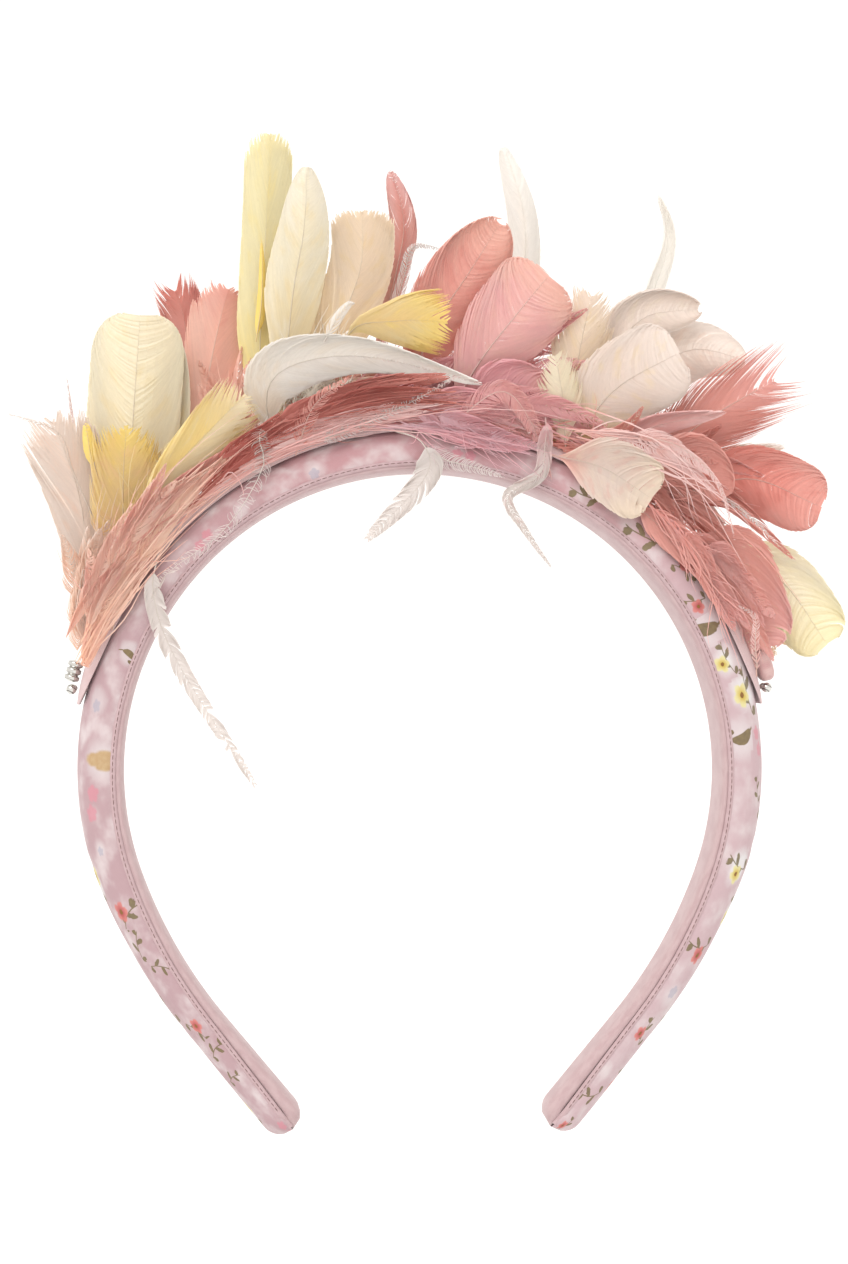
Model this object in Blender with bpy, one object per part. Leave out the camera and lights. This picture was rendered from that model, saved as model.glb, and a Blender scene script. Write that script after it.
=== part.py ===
"""A feather headband: a padded arch covered in fabric, a strip on top of it, and the feathers that the strip carries.

Metres, +Z up. The origin is at the crown of the arch's inner face, where a head carries it. +X runs to the right
tip and +Y from the front to the back. The feathers fan out over the crown from one ear to the other.
"""

import math

import bmesh
import bpy
from mathutils import Vector

# Arch, measured on its inner face
INNER_R = 0.0632
CROWN_TURN = 110.0
LOWER_R = 0.1030
LOWER_TURN = 20.0
LEG_LENGTH = 0.0270

# Padded section. TIP_SQUARE is the share of the width that is left flat where a tip rounds off.
BAND_T = 0.0099
BAND_W = 0.0180
LINING_T = 0.0022
LINING_CORNER = 0.0018
LINING_CORNER_POWER = 1.5
LINING_CORNER_STEPS = (0.0, 0.25, 0.7, 1.0)
DOME_POWER = 2.5
SEAM_GAP = 0.0003
TIP_SQUARE = 0.25

# Strip that carries the feathers. Its ends round off by STRIP_ROUNDING, and the higher the power, the squarer.
STRIP_GAP = 0.0005
SEAT_GAP = 0.0003
STRIP_T = 0.0012
STRIP_HALF_W = 0.0072
STRIP_END = 79.0
STRIP_ROUNDING = 0.8
STRIP_ROUNDING_POWER = 16

# Silver ends and the tab
BARREL_R = 0.0016
BARREL_LENGTH = 0.0046
BARREL_RINGS = 3
BARREL_GROOVE = 0.14
BARREL_ANGLE = -74.0
BEAD_R = 0.0008
BEAD_Y = 0.0016
BALL_R = 0.0011
BALL_Y = -0.0008
TAB_T = 0.0034
TAB_LENGTH = 0.0068
TAB_HALF_W = 0.0045
TAB_ANGLE = 73.0
TAB_ROUNDING = 0.75

# Feathers
PLUME_H = 0.0650
FEATHER_HALF_W = 0.0100
BLADE_T = 0.0008
QUILL_HALF_W = 0.0009
SWAY = 0.0040
SWAY_WAVES = 2.2
SWAY_START = 0.6
CUP_SHARE = 0.6
QUILL_SHARE = 0.14
RISE_POWER = 1.3
ROUND_TIP_END = 0.97
MOST_JAG = 0.85
ALONG_STEP = 0.01
JAG_AT_SIDES = 0.4

# Layers of feathers from front to back. The first two pass in front of the arch, and the others stand on the strip.
FRONT_LAYERS = 2
STANDING_LAYERS = 10
FRONT_CLEARANCE = 0.00075
LAYER_STEP = 0.0014
FRONT_LEAN = -0.42
BACK_LEAN = 0.38

# Faces
CROWN_STEPS = 18
LOWER_STEPS = 3
LEG_STEPS = 3
TIP_STEPS = 4
DOME_STEPS = 10
STRIP_STEPS = 30
STRIP_ROWS = 8
ROUND_SIDES = 10
BALL_ROWS = 6
TAB_STEPS = 6
BLADE_ROWS = 7
BLADE_COLUMNS = 4
SHARP_ANGLE = 40.0

# Thickness, width and lining along each arm: a share of the way from crown to tip, then shares of the sizes above
ARM_SECTIONS = (
    {"at": 0.00, "thickness": 1.00, "width": 1.00, "lining": 0.90},
    {"at": 0.45, "thickness": 1.00, "width": 0.92, "lining": 0.95},
    {"at": 0.62, "thickness": 0.97, "width": 0.84, "lining": 1.10},
    {"at": 0.72, "thickness": 0.88, "width": 0.78, "lining": 1.20},
    {"at": 0.85, "thickness": 0.83, "width": 0.72, "lining": 1.35},
    {"at": 0.94, "thickness": 0.87, "width": 0.68, "lining": 1.70},
    {"at": 1.00, "thickness": 0.88, "width": 0.66, "lining": 1.95},
)

# How a vane widens from its quill, narrows to its tip and parts into fingers, as shares of its length
VANES = {
    "petal": {"rise": 0.55, "fall": 0.50, "power": 2.0, "fingers": 0, "depth": 0.0},
    "broad": {"rise": 0.60, "fall": 0.76, "power": 3.0, "fingers": 0, "depth": 0.0},
    "oval": {"rise": 0.40, "fall": 0.45, "power": 1.8, "fingers": 0, "depth": 0.0},
    "pointed": {"rise": 0.50, "fall": 0.35, "power": 1.4, "fingers": 0, "depth": 0.0},
    "shield": {"rise": 0.36, "fall": 0.42, "power": 1.2, "fingers": 0, "depth": 0.0},
    "lock": {"rise": 0.25, "fall": 0.30, "power": 1.3, "fingers": 0, "depth": 0.0},
    "clipped": {"rise": 0.36, "fall": 1.00, "power": 1.0, "fingers": 5, "depth": 0.05},
    "fringed": {"rise": 0.65, "fall": 1.00, "power": 1.0, "fingers": 6, "depth": 0.15},
    "fan": {"rise": 0.95, "fall": 1.00, "power": 1.0, "fingers": 6, "depth": 0.10},
    "spray": {"rise": 0.60, "fall": 1.00, "power": 1.0, "fingers": 6, "depth": 0.34},
}
FINGER_JAGS = (0.35, 0.0, 0.5, 0.1, 0.3, 0.05)

COLOURS = {
    "cream": (0.87, 0.78, 0.58),
    "pale_yellow": (0.86, 0.75, 0.40),
    "golden": (0.83, 0.57, 0.19),
    "beige": (0.83, 0.68, 0.49),
    "white": (0.80, 0.75, 0.71),
    "blush": (0.83, 0.68, 0.61),
    "peach": (0.87, 0.51, 0.35),
    "coral": (0.73, 0.27, 0.19),
    "pink": (0.75, 0.36, 0.33),
    "rose": (0.78, 0.29, 0.31),
    "print": (0.83, 0.68, 0.73),
    "lining": (0.72, 0.50, 0.53),
    "strip": (0.84, 0.52, 0.44),
    "silver": (0.80, 0.79, 0.77),
}

# Feathers: the angle from the crown in degrees and the height as a share of PLUME_H at the quill's foot and at
# the points that the rib passes, then half the width as a share of FEATHER_HALF_W, and which way the vane cups
FEATHERS = (
    {"name": "beige_drop", "layer": 0, "vane": "broad", "colour": "beige", "half": 0.70, "cup": 1,
     "rib": ((22, None), (30.5, -0.01), (40, 0.00))},
    {"name": "rose_hackle_arc", "layer": 1, "vane": "lock", "colour": "rose", "half": 0.26, "cup": 1,
     "rib": ((3.5, None), (11, 0.10), (17, 0.03), (23.5, -0.12))},
    {"name": "hanging_feather_mid", "layer": 0, "vane": "lock", "colour": "white", "half": 0.30, "cup": -1,
     "rib": ((-5, None), (-0.5, -0.09), (0, -0.20), (-15, -0.385))},
    {"name": "hanging_feather_left", "layer": 0, "vane": "lock", "colour": "white", "half": 0.20, "cup": 1,
     "rib": ((-51, None), (-57, -0.11), (-66, -0.28), (-96, -0.61))},
    {"name": "beige_serrated", "layer": 0, "vane": "lock", "colour": "beige", "half": 0.21, "cup": 1,
     "rib": ((-22, None), (-17, 0.08), (-11, 0.14))},
    {"name": "coral_lock_low", "layer": 1, "vane": "lock", "colour": "coral", "half": 0.34, "cup": -1,
     "rib": ((37, None), (52, -0.03), (67, 0.01))},
    {"name": "coral_down_left", "layer": 1, "vane": "lock", "colour": "coral", "half": 0.32, "cup": -1,
     "rib": ((-65, None), (-47, 0.05), (-28, 0.07))},
    {"name": "yellow_split", "layer": 2, "vane": "fan", "colour": "pale_yellow", "half": 0.60, "cup": 1,
     "rib": ((-54, None), (-43, 0.10), (-32, 0.15), (-24.5, 0.20))},
    {"name": "coral_inner_left", "layer": 2, "vane": "lock", "colour": "coral", "half": 0.26, "cup": 1,
     "rib": ((-20, None), (-8, 0.09), (4, 0.13))},
    {"name": "rose_inner_right", "layer": 2, "vane": "pointed", "colour": "rose", "half": 0.34, "cup": -1,
     "rib": ((-5, None), (6, 0.055), (19, 0.02))},
    {"name": "coral_mass_right", "layer": 2, "vane": "petal", "colour": "coral", "half": 0.54, "cup": -1,
     "rib": ((35, None), (40, 0.18), (48, 0.18))},
    {"name": "pink_lock_end", "layer": 2, "vane": "lock", "colour": "pink", "half": 0.17, "cup": 1,
     "rib": ((60, None), (67, 0.03), (73, 0.05))},
    {"name": "white_scythe", "layer": 3, "vane": "shield", "colour": "white", "half": 0.60, "cup": -1,
     "rib": ((-25, None), (-22.5, 0.18), (-17, 0.23), (-7, 0.20), (9, 0.12))},
    {"name": "cream_ruffle", "layer": 3, "vane": "fringed", "colour": "cream", "half": 0.47, "cup": 1,
     "rib": ((24, None), (20.5, 0.14), (17, 0.28))},
    {"name": "coral_petal_small", "layer": 3, "vane": "pointed", "colour": "coral", "half": 0.30, "cup": -1,
     "rib": ((32, None), (33, 0.17), (40, 0.37))},
    {"name": "peach_down_left", "layer": 3, "vane": "lock", "colour": "peach", "half": 0.44, "cup": -1,
     "rib": ((-70, None), (-61, 0.07), (-50, 0.12))},
    {"name": "yellow_fringe", "layer": 4, "vane": "fan", "colour": "pale_yellow", "half": 0.70, "cup": 1,
     "rib": ((-14, None), (-10, 0.28), (-3.7, 0.31), (4, 0.31))},
    {"name": "rose_lower", "layer": 4, "vane": "petal", "colour": "rose", "half": 0.54, "cup": -1,
     "rib": ((7, None), (11, 0.13), (19, 0.16))},
    {"name": "peach_petal_front", "layer": 4, "vane": "broad", "colour": "peach", "half": 0.92, "cup": 1,
     "rib": ((25, None), (26.5, 0.23), (31.5, 0.45))},
    {"name": "pink_petal_low", "layer": 4, "vane": "broad", "colour": "pink", "half": 0.84, "cup": -1,
     "rib": ((49, None), (56, 0.07), (71, 0.03))},
    {"name": "pink_large_right", "layer": 5, "vane": "broad", "colour": "pink", "half": 0.94, "cup": 1,
     "rib": ((4, None), (8, 0.20), (12, 0.39), (14.3, 0.52))},
    {"name": "pink_fan_right", "layer": 5, "vane": "spray", "colour": "pink", "half": 0.84, "cup": -1,
     "rib": ((36, None), (39, 0.32), (43.5, 0.70))},
    {"name": "golden_vane", "layer": 5, "vane": "clipped", "colour": "golden", "half": 0.70, "cup": -1,
     "rib": ((-57, None), (-47, 0.18), (-40.5, 0.33))},
    {"name": "coral_large_up", "layer": 6, "vane": "petal", "colour": "coral", "half": 0.88, "cup": -1,
     "rib": ((-4, None), (1.3, 0.29), (5.3, 0.48), (8.3, 0.67))},
    {"name": "blush_fringe_mid", "layer": 6, "vane": "fringed", "colour": "blush", "half": 0.66, "cup": 1,
     "rib": ((25, None), (21, 0.28), (19.5, 0.54))},
    {"name": "coral_pointed_right", "layer": 6, "vane": "broad", "colour": "coral", "half": 0.76, "cup": 1,
     "rib": ((43, None), (48, 0.28), (57, 0.43))},
    {"name": "blush_fan_left", "layer": 7, "vane": "fan", "colour": "blush", "half": 0.80, "cup": 1,
     "rib": ((-70, None), (-59.5, 0.11), (-51, 0.29), (-46, 0.54))},
    {"name": "cream_pointed", "layer": 7, "vane": "oval", "colour": "cream", "half": 0.62, "cup": 1,
     "rib": ((-24, None), (-15.5, 0.44), (-12.3, 0.66), (-10.7, 0.87))},
    {"name": "blush_petal_top", "layer": 7, "vane": "petal", "colour": "blush", "half": 0.60, "cup": -1,
     "rib": ((26, None), (25, 0.34), (26.5, 0.52), (31.5, 0.64))},
    {"name": "cream_petal_left", "layer": 8, "vane": "broad", "colour": "cream", "half": 1.00, "cup": 1,
     "rib": ((-57, None), (-41.5, 0.28), (-31.5, 0.61))},
    {"name": "beige_square", "layer": 8, "vane": "clipped", "colour": "beige", "half": 0.68, "cup": -1,
     "rib": ((-22, None), (-9.5, 0.37), (-6.5, 0.54), (-5.8, 0.72))},
    {"name": "blush_petal_right", "layer": 8, "vane": "petal", "colour": "blush", "half": 0.72, "cup": 1,
     "rib": ((28, None), (30, 0.32), (33, 0.51), (39, 0.60))},
    {"name": "yellow_petal_low", "layer": 8, "vane": "broad", "colour": "pale_yellow", "half": 0.76, "cup": 1,
     "rib": ((52, None), (61.5, 0.19), (73.5, 0.27))},
    {"name": "cream_petal_back", "layer": 9, "vane": "petal", "colour": "cream", "half": 0.44, "cup": -1,
     "rib": ((-50, None), (-38, 0.20), (-29.5, 0.48))},
    {"name": "yellow_tall", "layer": 9, "vane": "clipped", "colour": "pale_yellow", "half": 0.52, "cup": 1,
     "rib": ((-28, None), (-19.5, 0.42), (-15.5, 0.74), (-13, 1.04))},
    {"name": "blush_fringe_right", "layer": 9, "vane": "fringed", "colour": "blush", "half": 0.30, "cup": -1,
     "rib": ((42, None), (42, 0.21), (50, 0.51))},
    {"name": "coral_petal_left", "layer": 10, "vane": "fringed", "colour": "coral", "half": 0.70, "cup": 1,
     "rib": ((-43, None), (-26, 0.40), (-21, 0.59))},
    {"name": "pink_blade_top", "layer": 10, "vane": "petal", "colour": "pink", "half": 0.32, "cup": 1,
     "rib": ((-10, None), (-2.5, 0.50), (-1.3, 0.69), (-2.3, 0.87))},
    {"name": "white_crescent_top", "layer": 10, "vane": "lock", "colour": "white", "half": 0.22, "cup": -1,
     "rib": ((30, None), (27, 0.58), (26, 0.84), (23.3, 0.98))},
    {"name": "coral_spray_left", "layer": 11, "vane": "spray", "colour": "pink", "half": 0.49, "cup": -1,
     "rib": ((-44, None), (-28.5, 0.46), (-26.5, 0.72))},
    {"name": "white_blade_top", "layer": 11, "vane": "petal", "colour": "white", "half": 0.36, "cup": 1,
     "rib": ((14, None), (13, 0.43), (11.5, 0.75), (8.5, 1.01))},
)


def clear_scene():
    for obj in list(bpy.data.objects):
        bpy.data.objects.remove(obj, do_unlink=True)


def material(name, roughness=0.8, metallic=0.0):
    found = bpy.data.materials.get(name)
    if found:
        return found
    made = bpy.data.materials.new(name)
    made.use_nodes = True
    shader = made.node_tree.nodes["Principled BSDF"]
    shader.inputs["Base Color"].default_value = (*COLOURS[name], 1.0)
    shader.inputs["Roughness"].default_value = roughness
    shader.inputs["Metallic"].default_value = metallic
    return made


def finish(name, bm, finish_material):
    """Closes a bmesh into a named object with outward faces and one material."""
    bmesh.ops.recalc_face_normals(bm, faces=bm.faces)
    mesh = bpy.data.meshes.new(name)
    bm.to_mesh(mesh)
    bm.free()
    obj = bpy.data.objects.new(name, mesh)
    bpy.context.scene.collection.objects.link(obj)
    mesh.materials.append(finish_material)
    mesh.shade_smooth()
    mesh.set_sharp_from_angle(angle=math.radians(SHARP_ANGLE))
    return obj


def loft(rings):
    """A closed body through rings of equally many points, with a flat face at each end."""
    bm = bmesh.new()
    made = [[bm.verts.new(point) for point in ring] for ring in rings]
    count = len(made[0])
    for first, second in zip(made, made[1:]):
        for k in range(count):
            after = (k + 1) % count
            bm.faces.new((first[k], first[after], second[after], second[k]))
    bm.faces.new(reversed(made[0]))
    bm.faces.new(made[-1])
    return bm


def eased(value):
    """Runs smoothly from 0 to 1, and stays there outside."""
    value = min(max(value, 0.0), 1.0)
    return value * value * (3 - 2 * value)


def arm_point(length):
    """The point on the inner face this far along the right arm, and the turn of the arm there in radians."""
    crown = INNER_R * math.radians(CROWN_TURN)
    lower = LOWER_R * math.radians(LOWER_TURN)
    turn = min(length / INNER_R, math.radians(CROWN_TURN))
    point = Vector((INNER_R * math.sin(turn), 0, INNER_R * (math.cos(turn) - 1)))
    if length > crown:
        start = turn
        turn = start + min((length - crown) / LOWER_R, math.radians(LOWER_TURN))
        point.x += LOWER_R * (math.sin(turn) - math.sin(start))
        point.z += LOWER_R * (math.cos(turn) - math.cos(start))
    if length > crown + lower:
        straight = length - crown - lower
        point += straight * Vector((math.cos(turn), 0, -math.sin(turn)))
    return point, turn


def arm_length():
    return INNER_R * math.radians(CROWN_TURN) + LOWER_R * math.radians(LOWER_TURN) + LEG_LENGTH


def arm_stations():
    """Distances from the crown to the tip, closer together where the tip rounds off."""
    crown = INNER_R * math.radians(CROWN_TURN)
    lower = LOWER_R * math.radians(LOWER_TURN)
    cap = tip_radius()
    leg = LEG_LENGTH - cap
    found = [crown * k / CROWN_STEPS for k in range(CROWN_STEPS)]
    found += [crown + lower * k / LOWER_STEPS for k in range(LOWER_STEPS)]
    found += [crown + lower + leg * k / LEG_STEPS for k in range(LEG_STEPS)]
    quarter = math.pi / 2 / (TIP_STEPS + 0.5)
    return found + [crown + lower + leg + cap * math.sin(quarter * k) for k in range(TIP_STEPS + 1)]


def tip_radius():
    return BAND_T * ARM_SECTIONS[-1]["thickness"] / 2


def section_sizes(length):
    """Thickness, half width, lining and roundness of the section this far along an arm."""
    share = length / arm_length()
    rows = list(zip(ARM_SECTIONS, ARM_SECTIONS[1:]))
    before, after = next((row for row in rows if share <= row[1]["at"]), rows[-1])
    blend = (share - before["at"]) / (after["at"] - before["at"])
    mixed = {key: before[key] + (after[key] - before[key]) * blend for key in before}
    into = max(0.0, (length - arm_length() + tip_radius()) / tip_radius())
    roundness = math.sqrt(max(0.0, 1 - into * into))
    return (
        BAND_T * mixed["thickness"],
        BAND_W / 2 * mixed["width"] * (TIP_SQUARE + (1 - TIP_SQUARE) * roundness),
        LINING_T * mixed["lining"],
        roundness,
    )


def dome(share):
    """Height of the padded dome, as a share of its full height, at this share of its half width."""
    return (1 - min(abs(share), 1.0) ** DOME_POWER) ** (1 / DOME_POWER)


def cover_ring(length):
    thickness, half_width, lining, roundness = section_sizes(length)
    height = (thickness - lining - SEAM_GAP) * roundness
    points = []
    for k in range(DOME_STEPS + 1):
        angle = math.pi * k / DOME_STEPS
        across = math.copysign(abs(math.cos(angle)) ** (2 / DOME_POWER), math.cos(angle))
        up = math.sin(angle) ** (2 / DOME_POWER)
        points.append((half_width * across, lining + SEAM_GAP + height * up))
    return points


def lining_ring(length):
    thickness, half_width, lining, roundness = section_sizes(length)
    corner = min(LINING_CORNER, half_width / 2)
    right = [
        (half_width - corner * step ** LINING_CORNER_POWER, lining * (1 - step * roundness))
        for step in LINING_CORNER_STEPS
    ]
    left = [(-across, up) for across, up in reversed(right)]
    return right + left


def on_arm(length, side, ring):
    """Carries a ring of (front to back, outward) points to its place on the right (1) or left (-1) arm."""
    point, turn = arm_point(length)
    outward = Vector((math.sin(turn), 0, math.cos(turn)))
    placed = [point + outward * up + Vector((0, across, 0)) for across, up in ring]
    return [Vector((p.x * side, p.y, p.z)) for p in placed]


def band_rings(ring_of):
    stations = arm_stations()
    left = [on_arm(length, -1, ring_of(length)) for length in reversed(stations[1:])]
    right = [on_arm(length, 1, ring_of(length)) for length in stations]
    return left + right


def build_band():
    finish("band_cover", loft(band_rings(cover_ring)), material("print"))
    finish("inner_lining", loft(band_rings(lining_ring)), material("lining"))


def cover_top(across, angle=0.0):
    """Distance from the arch's centre to the padded dome, this far from its middle."""
    length = INNER_R * math.radians(abs(angle))
    thickness, half_width, lining, _ = section_sizes(length)
    height = thickness - lining - SEAM_GAP
    return INNER_R + lining + SEAM_GAP + height * dome(across / half_width)


def strip_top(across, angle=0.0):
    return cover_top(across, angle) + STRIP_GAP + STRIP_T


def polar(angle, radius, y=0.0):
    """A point at this angle from the crown and this distance from the arch's centre."""
    turn = math.radians(angle)
    return Vector((radius * math.sin(turn), y, radius * math.cos(turn) - INNER_R))


def build_strip():
    rings = []
    for k in range(STRIP_STEPS + 1):
        share = 2 * k / STRIP_STEPS - 1
        angle = STRIP_END * share
        rounding = math.sqrt(1 - STRIP_ROUNDING * share ** STRIP_ROUNDING_POWER)
        turns = [math.pi * row / STRIP_ROWS for row in range(STRIP_ROWS + 1)]
        rows = [-STRIP_HALF_W * rounding * math.cos(turn) for turn in turns]
        under = [polar(angle, cover_top(y, angle) + STRIP_GAP, y) for y in rows]
        over = [polar(angle, strip_top(y, angle), y) for y in reversed(rows)]
        rings.append(under + over)
    finish("base_strip", loft(rings), material("strip"))


def along_arch(angle):
    """The direction along the arch at this angle, towards the right tip."""
    turn = math.radians(angle)
    return Vector((math.cos(turn), 0, -math.sin(turn)))


def build_barrel():
    """A turned barrel with raised rings, its axis along the strip."""
    centre = polar(BARREL_ANGLE, strip_top(0, BARREL_ANGLE) + SEAT_GAP + BARREL_R)
    axis = along_arch(BARREL_ANGLE)
    side = Vector((0, 1, 0))
    out = axis.cross(side)
    steps = 4 * BARREL_RINGS
    rings = []
    for k in range(steps + 1):
        share = k / steps
        radius = BARREL_R * (1 - BARREL_GROOVE * math.cos(math.pi * BARREL_RINGS * share) ** 2)
        middle = centre + axis * BARREL_LENGTH * (share - 0.5)
        turns = [2 * math.pi * n / ROUND_SIDES for n in range(ROUND_SIDES)]
        rings.append([middle + radius * (side * math.cos(a) + out * math.sin(a)) for a in turns])
    finish("end_barrel_left", loft(rings), material("silver", 0.2, 1.0))


def build_ball(name, centre, radius):
    bm = bmesh.new()
    bmesh.ops.create_uvsphere(bm, u_segments=ROUND_SIDES, v_segments=BALL_ROWS, radius=radius)
    bmesh.ops.translate(bm, vec=centre, verts=bm.verts)
    finish(name, bm, material("silver", 0.2, 1.0))


def build_tab():
    """A rounded fabric tab that caps the strip's right end."""
    low = strip_top(0, TAB_ANGLE) + SEAT_GAP
    rings = []
    for k in range(TAB_STEPS + 1):
        share = 2 * k / TAB_STEPS - 1
        angle = TAB_ANGLE + math.degrees(TAB_LENGTH / 2 * share / low)
        bulge = math.sqrt(1 - TAB_ROUNDING * share ** 4)
        ring = []
        for n in range(ROUND_SIDES):
            turn = 2 * math.pi * n / ROUND_SIDES
            height = TAB_T / 2 * (1 + bulge * math.sin(turn))
            ring.append(polar(angle, low + height, TAB_HALF_W * bulge * math.cos(turn)))
        rings.append(ring)
    finish("end_tab_right", loft(rings), material("strip"))


def build_ends():
    build_barrel()
    build_tab()
    barrel_end = BARREL_ANGLE - math.degrees(BARREL_LENGTH / 2 / (INNER_R + BAND_T))
    tab_end = TAB_ANGLE + math.degrees(TAB_LENGTH / 2 / (INNER_R + BAND_T))
    for name, end, way, radius, y in (
        ("end_bead_left", barrel_end, -1, BEAD_R, BEAD_Y),
        ("end_ball_left", barrel_end, -1, BALL_R, BALL_Y),
        ("end_bead_right", tab_end, 1, BEAD_R, BEAD_Y),
        ("end_ball_right", tab_end, 1, BALL_R, BALL_Y),
    ):
        angle = end + way * math.degrees((radius + SEAT_GAP) / strip_radius())
        build_ball(name, polar(angle, strip_top(y, angle) + SEAT_GAP + radius, y), radius)


def strip_radius():
    return strip_top(0.0)


def layer_start(layer):
    """Where a standing layer leaves the strip, from front to back."""
    return LAYER_STEP * (layer - FRONT_LAYERS - (STANDING_LAYERS - 1) / 2)


def layer_lean(layer):
    share = (layer - FRONT_LAYERS) / (STANDING_LAYERS - 1)
    return FRONT_LEAN + (BACK_LEAN - FRONT_LEAN) * share


def front_start(layer):
    return -(STRIP_HALF_W + SEAT_GAP + BLADE_T / 2) - LAYER_STEP * (FRONT_LAYERS - 1 - layer)


def layer_foot(layer):
    """Height of a quill's foot over the strip's crown: on the strip, or for a front layer at the strip's edge."""
    if layer < FRONT_LAYERS:
        return strip_top(STRIP_HALF_W) - STRIP_T / 2 - strip_radius()
    return strip_top(abs(layer_start(layer)) - BLADE_T / 2) + SEAT_GAP - strip_radius()


def layer_depth(layer, height):
    """How far front (negative) or back a layer is at this height over the strip."""
    if layer >= FRONT_LAYERS:
        return layer_start(layer) + layer_lean(layer) * max(height, 0.0)
    if height > layer_foot(layer):
        rise = height - layer_foot(layer)
        return front_start(layer) + layer_lean(layer) * rise
    clearance = FRONT_CLEARANCE + BLADE_T / 2 + LAYER_STEP * (FRONT_LAYERS - 1 - layer)
    reach = BAND_W / 2 + clearance
    up = (height + strip_radius() - INNER_R - LINING_T) / (BAND_T - LINING_T + clearance)
    hang = reach * dome(up) if up > 0 else reach
    return -max(hang, -front_start(layer))


def sway(angle, height):
    """A slow wave through the whole plume, so that no layer is flat."""
    return SWAY * math.sin(SWAY_WAVES * math.radians(angle) + SWAY_START) * max(height, 0.0) / PLUME_H


def cup_room(height):
    return CUP_SHARE * (BACK_LEAN - FRONT_LEAN) / (STANDING_LAYERS - 1) * max(height, 0.0)


def rib_point(points, share):
    """A point on the smooth curve through a feather's rib points, which runs on a little past both ends."""
    place = share * (len(points) - 1)
    k = min(max(int(place), 0), len(points) - 2)
    u = place - k
    before = points[k - 1] if k else 2 * points[0] - points[1]
    after = points[k + 2] if k + 2 < len(points) else 2 * points[-1] - points[-2]
    a, b = points[k], points[k + 1]
    return 0.5 * (
        2 * a + (b - before) * u + (2 * before - 5 * a + 4 * b - after) * u * u
        + (3 * a - before - 3 * b + after) * u ** 3
    )


def vane_share(vane, share):
    """Width of a vane at this share of its length, as a share of its widest."""
    quill = QUILL_HALF_W / FEATHER_HALF_W
    risen = math.sin(math.pi / 2 * min(share / vane["rise"], 1.0)) ** RISE_POWER
    wide = quill + (1 - quill) * risen
    if share > vane["fall"]:
        past = (share - vane["fall"]) / (1 - vane["fall"])
        wide *= max(1 - past ** vane["power"], 0.0) ** (1 / vane["power"])
    return wide


def build_feather(row):
    vane = VANES[row["vane"]]
    foot = layer_foot(row["layer"])
    ribs = [
        polar(angle, strip_radius() + (foot if height is None else height * PLUME_H))
        for angle, height in row["rib"]
    ]
    columns = vane["fingers"] or BLADE_COLUMNS
    body_end = 1 - vane["depth"] if vane["fingers"] else ROUND_TIP_END

    def placed(share, across):
        point = rib_point(ribs, share)
        along = (rib_point(ribs, share + ALONG_STEP) - rib_point(ribs, share - ALONG_STEP)).normalized()
        free = eased(share / QUILL_SHARE)
        side = Vector((along.z, 0, -along.x)).lerp(along_arch(row["rib"][0][0]), 1 - free).normalized()
        point = point + side * across * FEATHER_HALF_W * row["half"] * vane_share(vane, share)
        angle = math.degrees(math.atan2(point.x, point.z + INNER_R))
        height = math.hypot(point.x, point.z + INNER_R) - strip_radius()
        if row["layer"] >= FRONT_LAYERS:
            height = max(height, foot)
        cup = row["cup"] * (across * across - 0.5) * cup_room(height)
        depth = layer_depth(row["layer"], height) + sway(angle, height) + cup
        if row["layer"] < FRONT_LAYERS:
            depth += (front_start(FRONT_LAYERS - 1) - depth) * (1 - free)
        return polar(angle, strip_radius() + height, depth - BLADE_T / 2)

    bm = bmesh.new()
    grid = []
    for j in range(BLADE_ROWS + 1):
        share = body_end * j / BLADE_ROWS
        grid.append([bm.verts.new(placed(share, 2 * k / columns - 1)) for k in range(columns + 1)])
    for first, second in zip(grid, grid[1:]):
        for k in range(columns):
            bm.faces.new((first[k], first[k + 1], second[k + 1], second[k]))
    for k in range(vane["fingers"]):
        across = (2 * k + 1) / columns - 1
        jag = FINGER_JAGS[k % len(FINGER_JAGS)] + JAG_AT_SIDES * across * across
        tip = bm.verts.new(placed(1 - vane["depth"] * min(jag, MOST_JAG), across))
        bm.faces.new((grid[-1][k], grid[-1][k + 1], tip))
    flat = bmesh.ops.extrude_face_region(bm, geom=bm.faces[:])
    moved = [item for item in flat["geom"] if isinstance(item, bmesh.types.BMVert)]
    bmesh.ops.translate(bm, vec=(0, BLADE_T, 0), verts=moved)
    finish(row["name"], bm, material(row["colour"], 0.6))


def main():
    clear_scene()
    build_band()
    build_strip()
    build_ends()
    for row in FEATHERS:
        build_feather(row)


main()
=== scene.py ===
# %% [markdown]
# # A feather headband
# The real headband is a plastic arch, padded and wrapped in flower-printed cotton. A felt strip runs
# over its crown, and about forty dyed feathers are glued and stitched to that strip. This file dresses
# the exact solids of that headband in cloth, barbs and metal, one piece at a time.

# %% Load the frame
import math

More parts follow.
